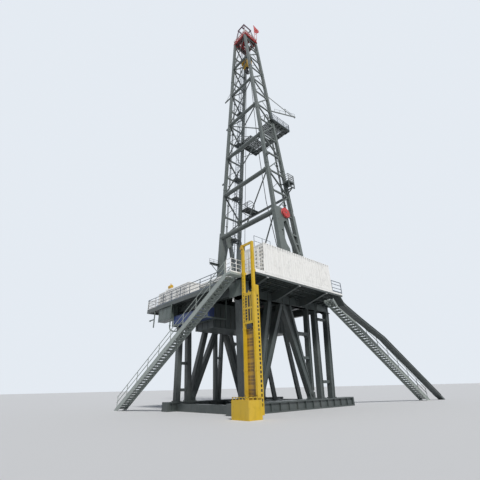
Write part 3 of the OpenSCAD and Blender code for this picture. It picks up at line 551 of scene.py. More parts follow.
# Side platform: grating and rail bars
SIDE_H = FIRST + 2.23
SIDE_X, SIDE_Y, SIDE_Z = front_at(SIDE_H) - 0.33, -half_at(SIDE_H) - 0.52, FLOOR + SIDE_H
bars = Build()
for x in row(13, SIDE_X + 0.02, 0.04):
    bars.box(span(x, 0.004), (SIDE_Y + 0.01, SIDE_Y + 0.38), (SIDE_Z - 0.022, SIDE_Z + 0.001))
for x in row(9, SIDE_X + 0.04, 0.055):
    bars.post(x, SIDE_Y + 0.012, SIDE_Z + 0.1, SIDE_Z + 0.54, 0.006, 6)
bars.rod((SIDE_X + 0.02, SIDE_Y + 0.03, SIDE_Z - 0.3), (SIDE_X + 0.5, SIDE_Y + 0.03, SIDE_Z - 0.02), 0.014)
bars.piece("side_platform_bars", SHADED_BRACE_PAINT)

# Doghouse: corner posts and castings, edge frame, roof ribs, three posts of the rear wall
HOUSE_XS = ((HOUSE_X0, 1), (HOUSE_X1, -1))  # a wall, and the way into the house
HOUSE_YS = ((HOUSE_Y0, 1), (HOUSE_Y1, -1))
house = Build()
for x, sx in HOUSE_XS:
    for y, sy in HOUSE_YS:
        house.box((x - sx * 0.004, x + sx * 0.05), (y - sy * 0.004, y + sy * 0.05),
                  (FLOOR + 0.001, HOUSE_TOP + 0.004))
        for z in (FLOOR + 0.002, HOUSE_TOP - 0.052):
            house.box((x - sx * 0.009, x + sx * 0.08), (y - sy * 0.009, y + sy * 0.08), (z, z + 0.06))
for y, sy in HOUSE_YS:
    house.box((HOUSE_X0, HOUSE_X1), (y - sy * 0.006, y + sy * 0.02), (HOUSE_TOP - 0.045, HOUSE_TOP + 0.012))
for x, sx in HOUSE_XS:
    house.box((x - sx * 0.006, x + sx * 0.02), (HOUSE_Y0, HOUSE_Y1), (HOUSE_TOP - 0.045, HOUSE_TOP + 0.012))
house.box((HOUSE_X0, HOUSE_X1), (HOUSE_Y0 - 0.006, HOUSE_Y0 + 0.02), (FLOOR + 0.001, FLOOR + 0.055))
for i in range(18):
    x = HOUSE_X0 + 0.2 + i * (HOUSE_X1 - HOUSE_X0 - 0.4) / 17
    house.box(span(x, 0.02), (HOUSE_Y0 + 0.03, HOUSE_Y1 - 0.03), (HOUSE_TOP, HOUSE_TOP + 0.008))
for y in (-3.935, -3.665, -3.255):
    house.box((HOUSE_X0 - 0.012, HOUSE_X0 + 0.002), span(y, 0.012), (FLOOR + 0.06, HOUSE_TOP - 0.05))
house.piece("doghouse_frame", WHITE, 0.003)

vents = Build()
for y in (-3.865, -3.745):
    for z in row(7, 4.68, 0.145):
        vents.box((HOUSE_X0 - 0.008, HOUSE_X0 + 0.001), span(y, 0.036), (z, z + 0.07))
vents.piece("doghouse_vents", VENT)
# small dark boxes at the top of each wall rib along the roof edge: painted shade
notch_shade = Build()
for i in range(RIBS):
    x = HOUSE_X0 + (i + 0.5) * RIB_PITCH
    notch_shade.box(span(x, 0.026), (HOUSE_Y0 - 0.009, HOUSE_Y0 - 0.005), (HOUSE_TOP - 0.03, HOUSE_TOP - 0.012))
notch_shade.piece("doghouse_notch_shade", DARK)

slats = Build()
for y in (-3.545, -3.375):
    for z in row(6, 4.7, 0.15):
        slats.box((HOUSE_X0 - 0.036, HOUSE_X0 - 0.03), span(y, 0.048), (z, z + 0.062))
slats.piece("door_vents", VENT, body="door")
door_bars = Build()
for y in (-3.61, -3.46, -3.31):
    door_bars.post(HOUSE_X0 - 0.04, y, 4.62, 5.56, 0.007)
    for z in (4.66, 4.95, 5.26, 5.53):
        door_bars.box((HOUSE_X0 - 0.046, HOUSE_X0 - 0.03), span(y, 0.013), (z, z + 0.02))
door_bars.box((HOUSE_X0 - 0.048, HOUSE_X0 - 0.042), (-3.31, -3.39), (5.02, 5.034))
door_bars.piece("door_bars", WHITE, 0.002, body="door")

ROOF_X, ROOF_Y = (-2.95, -2.44, -1.93), -2.88
roof = Build()
for x in ROOF_X:
    roof.post(x, ROOF_Y, HOUSE_TOP, 6.6, 0.012)
for z in (6.1, 6.35, 6.6):
    roof.rod((ROOF_X[0], ROOF_Y, z), (ROOF_X[-1], ROOF_Y, z), 0.01)
roof.piece("doghouse_roof_rail", RAIL)

# The porch's railing, round the doghouse door and the head of the rear stair
porch = Build()
railing(porch, (-3.984, -3.925, FLOOR), (-3.984, -3.27, FLOOR), 0.016, gap=0.33)
railing(porch, (-3.984, -3.925, FLOOR), (-3.52, -3.925, FLOOR), 0.014)
railing(porch, (-4.03, -3.235, FLOOR), (-4.57, -3.235, FLOOR), 0.014)
railing(porch, (-4.575, -3.235, FLOOR), (-4.575, -2.97, FLOOR), 0.014)
porch.piece("porch_railing", WHITE)

# Platform underside: a dark plate under the white slab as painted shade, joists, its arms
ARMS = (-3.33, -1.4675, 0.395)
ARM_END = -3.905
under = Build()
# dark plate under the white slab: painted shade
under.box((-3.995, 1.62), (-3.942, -2.86), (4.462, PLATFORM_Z))
for x in row(26, -3.9, 0.215):
    if min(abs(x - a) for a in ARMS) > 0.05:
        under.box(span(x, 0.012), (-3.93, -2.42), (4.405, PLATFORM_Z))
for y in (-3.93, -3.4, -2.9):
    under.box((-3.99, 1.61), span(y, 0.012), (4.4, PLATFORM_Z))
for x in ARMS:
    under.bar((x, ARM_END, 4.404), (x, -2.7, 4.086), 0.13, 0.014)
    under.box(span(x, 0.065), (ARM_END, -2.36), (4.456, 4.468))
under.piece("platform_joists", SUB_PAINT)
tips = Build()
for x in ARMS:
    tips.box(span(x, 0.06), (ARM_END - 0.017, ARM_END), (4.375, 4.469))
tips.piece("arm_ends", WHITE, 0.003)

# Floor joists; those near the well stop short of the rotary table
WELL_HALF = 0.32
INNER = (-2.05, 2.05)
JOIST_Z = 4.42
joists = Build()
for x in row(16, -3.85, 0.44):
    for ends in ((-2.84, -2.35), INNER, (2.35, 4.38)):
        if abs(x) > WELL_HALF or ends != INNER:
            joists.beam((x, ends[0], JOIST_Z), (x, ends[1], JOIST_Z), 0.06, 0.098, 0.008)
for y in (3.0, 3.7):
    joists.beam((-3.93, y, 4.41), (2.78, y, 4.41), 0.07, 0.1, 0.01)
joists.piece("floor_joists", SUB_PAINT)

# Flanges, stiffeners and bolts on girders, columns, leg feet and skids
COLUMNS = ((-3.185, -3.28), (-2.6, -2.83), (1.335, 1.625), (2.145, 2.62))  # x of foot and head
FLANGE = 0.012  # half thickness
PIN_Z, PIN_BOLTS = 0.52, 0.062  # the legs' foot pins, and their bolt circle
flanges = Build()
studs = Build()
for side in (-1, 1):
    y = side * SKID_Y
    for z in (GIRDER_Z0 + FLANGE, GIRDER_Z1 - FLANGE):
        flanges.box((-3.5, 2.7), span(y, 0.165), span(z, FLANGE))
    for x in row(13, -3.2, 0.48):
        for s in (-1, 1):
            flanges.box(span(x, 0.006), (y + s * 0.14, y + s * 0.162),
                        (GIRDER_Z0 + 2 * FLANGE, GIRDER_Z1 - 2 * FLANGE))
    for foot, head in COLUMNS:
        for s in (-1, 1):
            flanges.bar((foot + s * 0.106, y, SKID_TOP + FLANGE), (head + s * 0.106, y, GIRDER_Z0 - 0.002),
                        0.014, 0.25, Y_AXIS)
        for x, z, d in ((foot, SKID_TOP + FLANGE, 1), (head, GIRDER_Z0 - FLANGE, -1)):
            flanges.box(span(x, 0.16), span(y, 0.165), span(z, FLANGE))
            for sx in (-0.135, 0.135):
                for sy in (-0.14, 0.14):
                    studs.bolt((x + sx, y + sy, z + d * FLANGE), (0, 0, d), 0.014, 0.016)
    for x in (-2.41, 0.68):
        flanges.box(span(x, 0.2), span(y, 0.15), (SKID_TOP + 0.002, SKID_TOP + 0.022))
        for s in (-1, 1):
            flanges.disc((x, y + s * 0.115, PIN_Z), Y_AXIS, 0.085, 0.04, 24)
            flanges.disc((x, y + s * 0.14, PIN_Z), Y_AXIS, 0.04, 0.04, 18)
            for c, r in circle(6):
                studs.bolt((x + PIN_BOLTS * c, y + s * 0.135, PIN_Z + PIN_BOLTS * r),
                                (0, s, 0), 0.007, 0.008)
    for x in row(14, -3.5, 0.5):
        for s in (-1, 1):
            flanges.box(span(x, 0.007), (y + s * 0.18, y + s * 0.236), (0.05, 0.3))
flanges.piece("girder_flanges", SUB_PAINT, 0.002)
studs.piece("column_bolts", SUB_PAINT)

# narrow edge strips along the legs: (x, z) of each leg's head and foot, and its width
LEGS = (((-1.575, 4.06), (-2.44, 0.72), 0.2), ((-0.8, 4.06), (-2.33, 0.62), 0.2),
        ((-0.72, 4.06), (0.6, 0.62), 0.22), ((1.0, 4.06), (0.71, 0.62), 0.12))
legs = Build()
for side in (-1, 1):
    for (x0, z0), (x1, z1), w in LEGS:
        d = Vector((x1 - x0, 0, z1 - z0)).normalized()
        across = Vector((d.z, 0, -d.x))
        for s in (-1, 1):
            edge = across * (s * (w / 2 + 0.005))
            legs.bar(Vector((x0, side * SKID_Y, z0)) + edge + d * 0.05,
                     Vector((x1, side * SKID_Y, z1)) + edge - d * 0.05, 0.016, 0.25, Y_AXIS)
legs.piece("leg_edges", SUB_PAINT)

# rounded gussets between the girders and the columns' heads
caps = Build()
for side in (-1, 1):
    y = side * 2.352
    arc = [(1.985 + 0.285 * c, y, 4.17 + 0.28 * s) for c, s in HALF_CIRCLE]
    caps.plate([(2.27, y, 4.08)] + arc + [(1.7, y, 4.08)], Y_AXIS, 0.026)
caps.piece("girder_gussets", MAST_PAINT, 0.003)

# ribs on the boxes under the floor
BOX_Z0, BOX_Z1, RIB_HALF, RIB_OUT = 3.12, 4.06, 0.012, 0.022
boxes = Build()
for x in row(9, -3.1, 0.27):
    for y, s in ((-0.45, -1), (0.95, 1)):
        boxes.box(span(x, RIB_HALF), (y, y + s * RIB_OUT), (BOX_Z0, BOX_Z1))
for x, s in ((-3.2, -1), (0.34, -1), (1.2, 1)):
    for y in (-0.42, 0.0, 0.42, 0.8):
        boxes.box((x, x + s * RIB_OUT), span(y, RIB_HALF), (BOX_Z0, BOX_Z1))
for y, s in ((-0.85, -1), (0.85, 1)):
    for x in (0.4, 0.63, 0.86, 1.1):
        boxes.box(span(x, RIB_HALF), (y, y + s * RIB_OUT), (BOX_Z0, BOX_Z1))
boxes.piece("box_ribs", SUB_PAINT, 0.003)

# Lift: collars, guide strips, rungs, head sheave, rims of the base box
LX = -4.15  # rear face of the lift's frame
MESH_X = LX + 0.092
BASE_X, BASE_Y, BASE_Z0, BASE_Z1 = -4.595, -4.01, 0.1, 0.58
lift = Build()
for z in (1.3, 2.55, 3.8, 5.0):
    for y in (-3.45, -3.96):
        lift.box((LX - 0.006, LX + 0.106), (y, y + 0.1), span(z, 0.03))
for y in (-3.4, -3.91):
    lift.bar((LX - 0.008, y, 0.62), (LX - 0.008, y, 5.56), 0.03, 0.018, X_AXIS)
for z in row(23, 0.2, 0.165):
    lift.box((LX + 0.241, LX + 0.252), (-3.957, -3.929), (z, z + 0.04))
lift.disc((LX + 0.05, -3.4, 5.6), X_AXIS, 0.058, 0.11, 20)
lift.rod((LX + 0.05, -3.42, 5.655), (LX + 0.05, -3.9, 5.655), 0.02)
for x in (-4.58, -4.4, -4.22, -4.05):
    lift.box(span(x, 0.01), (BASE_Y, BASE_Y + 0.02), (BASE_Z0, BASE_Z1))
lift.box((-4.59, -4.05), (BASE_Y, BASE_Y + 0.02), (BASE_Z1 - 0.02, BASE_Z1))
for y in (-3.9, -3.75, -3.6, -3.45, -3.3):
    lift.box((BASE_X, BASE_X + 0.017), span(y, 0.01), (BASE_Z0, BASE_Z1))
lift.box((BASE_X, BASE_X + 0.017), (-4.0, -3.27), (BASE_Z1 - 0.02, BASE_Z1))
lift.piece("lift_rungs", YELLOW)

# golden mesh in the lower part of the frame: its rows of openings are darker strips of painted shade, on a
# sheet whose yellow is painted shade
mesh = Build()
for i in range(26):
    z = 0.16 + i * 0.092
    if i % 4 != 3:
        for y0, y1 in ((-3.855, -3.75), (-3.735, -3.575), (-3.56, -3.455)):
            mesh.box((MESH_X - 0.0015, MESH_X + 0.001), (y0, y1), (z, z + 0.07))
mesh.piece("lift_mesh", SHADED_YELLOW)
# the mesh's sheet, in a yellow darkened as painted shade
sheet = Build()
sheet.box((MESH_X - 0.0008, MESH_X + 0.0005), (-3.862, -3.448), (0.12, 2.548))
sheet.piece("lift_mesh_sheet", SHADED_MESH_YELLOW)

# dark recesses of the posts, as flat dark patches of painted shade, and bridges that halve the
# construction's tall slots in the right post
SLOT_Z, SLOT_PITCH, SLOT_HIGH = 0.3, 0.2493, 0.1454
slot_shade = Build()
slot_shade.box((LX + 0.135, LX + 0.215), (-3.93, -3.9265), (0.28, 3.82))
for z in row(14, 2.75, 0.125):
    slot_shade.box((LX - 0.003, LX + 0.001), (-3.442, -3.418), (z, z + 0.085))
# dark patches between the construction's slots on the plate's outer face: painted shade
for z in row(13, SLOT_Z + SLOT_HIGH, SLOT_PITCH):
    slot_shade.box((LX + 0.141, LX + 0.209), (-3.9562, -3.9545), (z + 0.002, z + 0.08))
slot_shade.piece("lift_slot_shade", RECESS_SHADE)
bridges = Build()
for z in row(14, SLOT_Z, SLOT_PITCH):
    for z0, z1 in ((-0.001, 0.02), (0.1, SLOT_HIGH + 0.001)):
        bridges.box((LX + 0.136, LX + 0.214), (-3.9545, -3.933), (z + z0, z + z1))
bridges.piece("lift_slot_bridges", YELLOW)

HOIST_X, HOIST_Y = LX - 0.03, -3.405
hoist = Build()
hoist.disc((LX - 0.032, HOIST_Y, 5.5), X_AXIS, 0.062, 0.045, 22)
hoist.box((LX - 0.05, LX - 0.004), span(HOIST_Y, 0.025), (5.44, 5.62))
hoist.post(HOIST_X, HOIST_Y, 5.46, 5.36, 0.014)
hoist.pipe([(HOIST_X, HOIST_Y + 0.035 * sin(a), 5.325 - 0.04 * cos(a))
            for a in [0.7 * i - 2.4 for i in range(7)]], 0.011)
hoist.piece("lift_hook", ORANGE)

# the carriage, which rides the lift's body
cage = Build()
for y in (-3.615, -3.755):
    cage.box((LX + 0.004, LX + 0.03), span(y, 0.02), (2.78, 3.66))
for z in row(9, 2.8, 0.098):
    cage.box((LX + 0.007, LX + 0.03), (-3.594, -3.492), (z, z + 0.018))
cage.post(LX + 0.045, -3.66, 3.74, 3.82, 0.022)
cage.piece("lift_cage_bars", YELLOW, body="lift")
# dark sheets filling the carriage's pockets: painted shade
shade = Build()
for z0, z1 in ((2.786, 3.181), (3.248, 3.643)):
    shade.box((LX + 0.013, LX + 0.016), (-3.817, -3.493), (z0, z1))
shade.piece("lift_cage_back_shade", RECESS_SHADE, body="lift")
gear = Build()
gear.box((LX + 0.012, LX + 0.075), (-3.8, -3.55), (2.6, 2.702))
gear.disc((LX + 0.042, -3.755, 2.585), X_AXIS, 0.058, 0.05, 18)
gear.disc((LX + 0.042, -3.6, 2.59), X_AXIS, 0.05, 0.05, 18)
gear.box((LX + 0.02, LX + 0.065), (-3.7, -3.65), (2.545, 2.61))
gear.piece("lift_gear", DARK, body="lift")

# Stairs: flanges of the stringers, gratings of the treads
GOING, RISE, TREADS = 0.18, 0.098, 45
TAN = RISE / GOING
LENGTH = FLOOR / TAN
EDGE, DEPTH = 0.054, 0.228  # the stringer's top above the slope line, and its depth
WIDTH = 0.42


def rear(s, off, z):
    """A point of the rear stair, s along it from the floor and off across it."""
    return (-4.165 - off, -2.95 + s, z)


def front(s, off, z):
    """The same of the stair beside the front chute."""
    return (1.625 + s, -2.882 - off, z)


stairs = Build()
grates = Build()
for spot, ref in ((rear, X_AXIS), (front, Y_AXIS)):
    for off in (0, WIDTH):
        for lift_z, end in ((EDGE - 0.005, LENGTH - 0.06), (EDGE - DEPTH + 0.006, LENGTH - 0.4)):
            stairs.bar(spot(0.12, off, FLOOR - 0.12 * TAN + lift_z),
                       spot(end, off, FLOOR - end * TAN + lift_z), 0.01, 0.028, ref)
    for i in range(1, TREADS + 1):
        s = i * GOING - 0.02
        z = FLOOR - i * RISE
        for q in (-0.062, -0.031, 0.0, 0.031, 0.062):
            grates.bar(spot(s + q, 0.014, z + 0.003), spot(s + q, 0.406, z + 0.003), 0.006, 0.008)
        for q in (-0.068, 0.068):
            grates.bar(spot(s + q, 0.0125, z - 0.04), spot(s + q, 0.4075, z - 0.04), 0.005, 0.055)
        for off in (0.0145, 0.4055):
            grates.bar(spot(s - 0.07, off, z - 0.02), spot(s + 0.07, off, z - 0.02), 0.005, 0.05)
stairs.piece("stair_flanges", GREY)
grates.piece("stair_tread_bars", GREY)

# Front chute: flanges of its sides, rollers between them
CHUTE = ((1.625, FLOOR), (1.95, 4.15), (3.35, 3.6), (5.3, 2.9), (10.6, 2.9 - 5.3 * 0.5115))
chute = Build()
for (x0, z0), (x1, z1) in zip(CHUTE[:-1], CHUTE[1:]):
    n = int(hypot(x1 - x0, z1 - z0) / 0.14)
    for y in (-3.752, -3.448):
        chute.bar((x0, y, z0 + 0.058), (x1, y, z1 + 0.058), 0.04, 0.012)
        chute.bar((x0, y, z0 - 0.056), (x1, y, z1 - 0.056), 0.036, 0.01)
    for i in range(n):
        t = (i + 0.5) / n
        x, z = x0 + (x1 - x0) * t, z0 + (z1 - z0) * t - 0.015
        chute.rod((x, -3.727, z), (x, -3.473, z), 0.016)
chute.piece("chute_rollers", SUB_PAINT)

# Racking board: fingers, walkway beams, stays, rail bars
RACK_H, STAY_H = 12.3, 11.2
RACK_X, RACK_Y, RACK_Z = front_at(RACK_H) - 0.25, half_at(RACK_H) + 0.22, FLOOR + RACK_H
FINGER_Y, WALK = 0.42, 0.41  # inner end of the fingers, width of the side walks
rack = Build()
for side in (-1, 1):
    inner, outer = side * FINGER_Y, side * (RACK_Y - WALK)
    for x in row(12, RACK_X + 0.06, 0.115):
        rack.bar((x, outer, RACK_Z + 0.03), (x, inner, RACK_Z + 0.03), 0.07, 0.045)
    rack.bar((RACK_X + 0.02, inner, RACK_Z + 0.03), (RACK_X + 1.47, inner, RACK_Z + 0.03), 0.03, 0.05)
    for x in row(7, RACK_X + 0.1, 0.29):
        rack.beam((x, side * (RACK_Y - 0.01), RACK_Z - 0.03), (x, outer, RACK_Z - 0.03), 0.05, 0.06, 0.008)
    rack.beam((RACK_X + 0.02, side * (RACK_Y - 0.04), RACK_Z - 0.045),
              (RACK_X + 1.86, side * (RACK_Y - 0.04), RACK_Z - 0.045), 0.07, 0.09, 0.01)
    rack.rod((RACK_X + 1.55, side * (RACK_Y - 0.1), RACK_Z - 0.05),
             (front_at(STAY_H), side * (half_at(STAY_H) + 0.05), FLOOR + STAY_H), 0.022)
rack.box((RACK_X + 0.33, RACK_X + 1.49), (-0.16, 0.16), (RACK_Z, RACK_Z + 0.03))
for y in row(12, -1.65, 0.3):
    rack.beam((RACK_X + 1.5, y, RACK_Z - 0.03), (RACK_X + 1.86, y, RACK_Z - 0.03), 0.05, 0.06, 0.008)
rack.piece("racking_fingers", SUB_PAINT)
BAR_Z0, BAR_Z1 = RACK_Z + 0.07, RACK_Z + 0.56
guard = Build()
for y in row(24, -1.69, 0.147):
    guard.post(RACK_X + 1.85, y, BAR_Z0, BAR_Z1, 0.006, 6)
for side in (-1, 1):
    y = side * (RACK_Y - 0.013)
    for x in row(12, RACK_X + 0.06, 0.155):
        guard.post(x, y, BAR_Z0, BAR_Z1, 0.006, 6)
guard.piece("racking_rail_bars", RAIL)

# The jib over the racking board: rail, mast and pulley
JIB_H = RACK_H + 1.2
JIB_X, JIB_Y = 1.9, -0.785  # its reach from the front column
jib = Build()


def jib_at(t, up_by):
    return Vector((front_at(JIB_H) + JIB_X * t, -half_at(JIB_H) + JIB_Y * t, FLOOR + JIB_H + up_by))


jib.rod(jib_at(0.62, 0.02), jib_at(0.62, 0.62), 0.022)
for t in (0.2, 0.4, 0.62, 0.8, 0.98):
    jib.rod(jib_at(t, 0.02), jib_at(t, 0.3), 0.01)
jib.rod(jib_at(0.2, 0.3), jib_at(0.98, 0.3), 0.009)
jib.rod(jib_at(0.62, 0.6), jib_at(0.98, 0.03), 0.01)
jib.disc(jib_at(0.97, -0.06), (0.38, 0.92, 0), 0.055, 0.04, 18)
jib.piece("jib_rail", MAST_PAINT)

# tie between the columns of the rear face: z of its left and right end
TIE_Z = (17.86, 15.28)
tie = Build()
tie_ends = [Vector((REAR, side * half_at(z - FLOOR), z)) for side, z in zip((1, -1), TIE_Z)]
tie.rod(*tie_ends, 0.038, 12)
for side, end in zip((1, -1), tie_ends):
    tie.box(*zip(end + Vector((-0.05, 0, -0.09)), end + Vector((0.05, -side * 0.16, 0.09))))
tie.piece("mast_cross_tie", MAST_PAINT)

# Crown: flanges and ribs of the frame, knees, trestles of the sheaves, rims of the sheaves
CX0, CX1, CY = -0.75, 0.65, 0.73
CROWN_FLANGES = (CROWN + 0.008, DECK - 0.008)
TRESTLE_Y, TRESTLE_Z = 0.5, DECK + 0.42
crown = Build()
for s in (-1, 1):
    y = s * CY
    for z in CROWN_FLANGES:
        crown.box((CX0 - 0.012, CX1 + 0.012), (y - s * 0.02, y + s * 0.03), span(z, 0.008))
    for i in range(9):
        x = CX0 + 0.08 + i * (CX1 - CX0 - 0.16) / 8
        crown.box(span(x, 0.006), (y, y + s * 0.022), (CROWN + 0.01, DECK - 0.01))
for x in (CX0, CX1):
    for z in CROWN_FLANGES:
        crown.box(span(x, 0.02), (-CY, CY), span(z, 0.008))
for side in (-1, 1):
    for x in (REAR, 0.56):
        crown.bar((x, side * 0.66, CROWN - 0.01), (x * 0.75, side * 0.46, CROWN - 0.3), 0.05, 0.05)
    foot, head = side * 0.68, side * TRESTLE_Y
    for x in (-0.7, -0.35, 0.0, 0.35, 0.6):
        crown.bar((x, foot, DECK), (x, head, TRESTLE_Z), 0.036, 0.036)
    crown.bar((CX0 + 0.05, head, TRESTLE_Z), (CX1 - 0.05, head, TRESTLE_Z), 0.05, 0.04)
    for x in row(5, -0.7, 0.26):
        crown.bar((x, foot, DECK + 0.01), (x + 0.26, head, TRESTLE_Z - 0.01), 0.026, 0.026)
for i in range(-3, 4):
    for s in (-0.028, 0.028):
        crown.ring((0, i * 0.09 + s, TRESTLE_Z), Y_AXIS, 0.24, 0.306, 0.005, 40)
crown.piece("crown_lattice", RED)

# low truss along the crown deck's edges
SKIRT = Vector((0, 0, 0.3))
x0, x1, y1 = CX0 + 0.03, CX1 - 0.03, CY - 0.03
corners = [Vector((x, y, DECK)) for x, y in ((x0, -y1), (x1, -y1), (x1, y1), (x0, y1))]
skirt = Build()
for p, q in zip(corners, corners[1:] + corners[:1]):
    skirt.bar(p + SKIRT, q + SKIRT, 0.045, 0.045)
    for i in range(6):
        foot, after = p.lerp(q, i / 6), p.lerp(q, (i + 1) / 6)
        skirt.bar(foot, foot + SKIRT, 0.035, 0.035)
        skirt.bar(foot + SKIRT * (i % 2), after + SKIRT * (1 - i % 2), 0.03, 0.03)
skirt.piece("crown_skirt", RED)

# underside of the crown: plates round the opening for the lines, and ribs below them, in red darkened as
# painted shade
OPENING = 0.41
soffit = Build()
for x0, x1 in ((CX0 + 0.05, -OPENING), (OPENING, CX1 - 0.05)):
    soffit.box((x0, x1), (-CY + 0.05, CY - 0.05), (CROWN - 0.003, CROWN + 0.001))
for y in (-0.69, OPENING):
    soffit.box((-0.405, 0.405), (y, y + 0.27), (CROWN - 0.003, CROWN + 0.001))
soffit.piece("crown_soffit", SHADED_RED)
ribs = Build()
for x in (CX0 + 0.09, -0.45, 0.45, CX1 - 0.09):
    ribs.box(span(x, 0.03), (-CY + 0.04, CY - 0.04), (CROWN - 0.05, CROWN - 0.002))
for y in (-0.65, -0.45, 0.45, 0.65):
    ribs.box((CX0 + 0.04, CX1 - 0.04), span(y, 0.03), (CROWN - 0.05, CROWN - 0.002))
ribs.piece("crown_ribs", SHADED_RED)

# red plate beside the crown, on two posts from the frame's right edge
SHIELD_Y = -CY - 0.15
POST_Y = SHIELD_Y + 0.02
HUB = (0.5, SHIELD_Y, DECK + 1.48)
shield = Build()
for x in (0.26, 0.52):
    shield.pipe([(x, -CY - 0.014, CROWN + 0.1), (x, POST_Y, DECK + 0.22), (x, POST_Y, DECK + 1.7)], 0.02)
shield.bar((0.26, POST_Y, DECK + 0.55), (0.52, POST_Y, DECK + 0.95), 0.03, 0.03)
shield.plate([(x, SHIELD_Y, DECK + z) for x, z in (
    (0.18, 1.92), (0.24, 1.3), (0.32, 0.86), (0.62, 1.16), (0.86, 1.56), (0.82, 1.78),
    (0.56, 1.8))], Y_AXIS, 0.03)
shield.disc(HUB, Y_AXIS, 0.21, 0.07, 28)
shield.disc(HUB, Y_AXIS, 0.06, 0.12, 20)
shield.piece("crown_plate", RED, 0.004)

# gin frame: pads at the top's corners, the pulley with its cheeks, crossed stays of the two sides
GIN_Z = DECK + 1.87
PULLEY_X, PULLEY_Z = -0.08, GIN_Z - 0.1
gin = Build()
for y in (-0.36, 0.36):
    for x in (-0.47, 0.31):
        gin.box(span(x, 0.07), span(y, 0.06), (GIN_Z - 0.02, GIN_Z - 0.001))
gin.disc((PULLEY_X, -0.03, PULLEY_Z), Y_AXIS, 0.1, 0.04, 24)
gin.rod((PULLEY_X, -0.09, PULLEY_Z), (PULLEY_X, 0.03, PULLEY_Z), 0.02)
for y in (-0.0625, 0.0025):
    gin.box(span(PULLEY_X, 0.04), span(y, 0.0075), (PULLEY_Z - 0.02, GIN_Z + 0.01))
for side in (-1, 1):
    for x0, x1 in ((-0.61, 0.45), (0.51, -0.55)):
        gin.rod((x0, side * 0.6, DECK + 0.25), (x1, side * 0.47, GIN_Z - 0.75), 0.018)
gin.piece("gin_pulley", PURPLE)

# Travelling block and hook
BLOCK = CROWN - 1.95 - 1.15  # z of the block's lower end at rest
AXLE = 0.75
CHEEK = ((-0.105, 0.01), (-0.315, 0.39), (-0.315, 0.95), (-0.14, 1.135))
block = Build()
for s in (-1, 1):
    y = s * 0.266
    for (x0, z0), (x1, z1) in zip(CHEEK[:-1], CHEEK[1:]):
        for m in (-1, 1):
            block.bar((m * x0, y, BLOCK + z0), (m * x1, y, BLOCK + z1), 0.03, 0.028, Y_AXIS)
    block.disc((0, s * 0.284, BLOCK + AXLE), Y_AXIS, 0.12, 0.012, 28)
    for c, r in circle(8):
        block.bolt((0.1 * c, s * 0.289, BLOCK + AXLE + 0.1 * r), (0, s, 0), 0.01, 0.01)
    for z in (0.12, 0.28, 1.02):
        for x in (-0.07, 0.07):
            block.bolt((x, s * 0.26, BLOCK + z), (0, s, 0), 0.016, 0.014)
block.box((-0.14, 0.14), (-0.23, 0.23), (BLOCK + 1.08, BLOCK + 1.14))
block.piece("block_ribs", SHADED_BLOCK_YELLOW, 0.003, body="block")
collar = Build()
collar.disc((0, 0, BLOCK - 0.04), UP, 0.13, 0.07, 28)
collar.disc((0, 0, BLOCK - 0.11), UP, 0.1, 0.07, 28)
for s in (-1, 1):
    collar.disc((0, s * 0.075, BLOCK - 0.2), Y_AXIS, 0.05, 0.03, 20)
collar.bar((0.17, 0, BLOCK - 0.3), (0.11, 0, BLOCK - 0.42), 0.05, 0.03, Y_AXIS)
collar.piece("hook_collar", DARK, 0.003, body="block")

# At the floor's rear edge: tank, cabinet, drain pipes, a box at the right corner
tank = Build()
for y in row(11, -0.58, 0.25):
    tank.box((-3.758, -3.342), span(y, 0.01), (3.46, 3.858))
for z in (3.448, 3.853):
    tank.box((-3.765, -3.335), (-0.655, 1.995), span(z, 0.008))
for y in (0.2, 1.5):
    tank.disc((-3.55, y, 3.87), UP, 0.11, 0.03, 24)
tank.piece("tank_ribs", BLUE)
cabinet = Build()
for y0, y1 in ((2.09, 2.46), (2.48, 2.84), (2.86, 3.21)):
    cabinet.box((-3.94, -3.93), (y0, y1), (3.82, 4.36))
    cabinet.post(-3.945, y1 - 0.04, 4.05, 4.2, 0.006)
cabinet.box((-3.94, -3.52), (2.04, 3.26), (3.758, 3.774))
cabinet.piece("cabinet_doors", CABINET, 0.003)

DRAIN_X, DRAIN_Y, DRAIN_TOP = -4.027, 1.86, 4.4
drains = Build()
drains.pipe([(DRAIN_X, DRAIN_Y, DRAIN_TOP), (DRAIN_X, DRAIN_Y, 3.3), (-4.01, 1.8, 3.2),
             (-3.95, 1.65, 3.14), (-3.86, 1.42, 3.12)], 0.028, 12)
for z in (4.3, 3.75, 3.4):
    drains.disc((DRAIN_X, DRAIN_Y, z), UP, 0.045, 0.03, 16)
drains.pipe([(-3.97, 3.6, DRAIN_TOP), (-3.97, 3.6, 3.55)], 0.03, 12)
drains.pipe([(-3.97, 3.6, 3.95), (-3.97, 4.1, 3.95), (-3.9, 4.15, 3.95)], 0.03, 12)
drains.piece("drain_pipes", CABINET)

HOPPER_Y = (-3.1, -2.46)
hopper = Build()
hopper.box((-3.99, -3.56), HOPPER_Y, (3.8, 4.402))
for z in (3.815, 4.385):
    hopper.box((-4.0, -3.55), (HOPPER_Y[0] - 0.01, HOPPER_Y[1] + 0.01), span(z, 0.015))
for y in (HOPPER_Y[0], -2.78, HOPPER_Y[1]):
    hopper.box((-3.999, -3.985), span(y, 0.012), (3.8, 4.4))
hopper.piece("corner_box", CABINET, 0.003)
outlet = Build()
outlet.post(-3.94, -2.62, 3.66, 3.81, 0.034, 16)
outlet.disc((-3.94, -2.62, 3.665), UP, 0.045, 0.014, 18)
outlet.piece("box_outlet", WHITE)

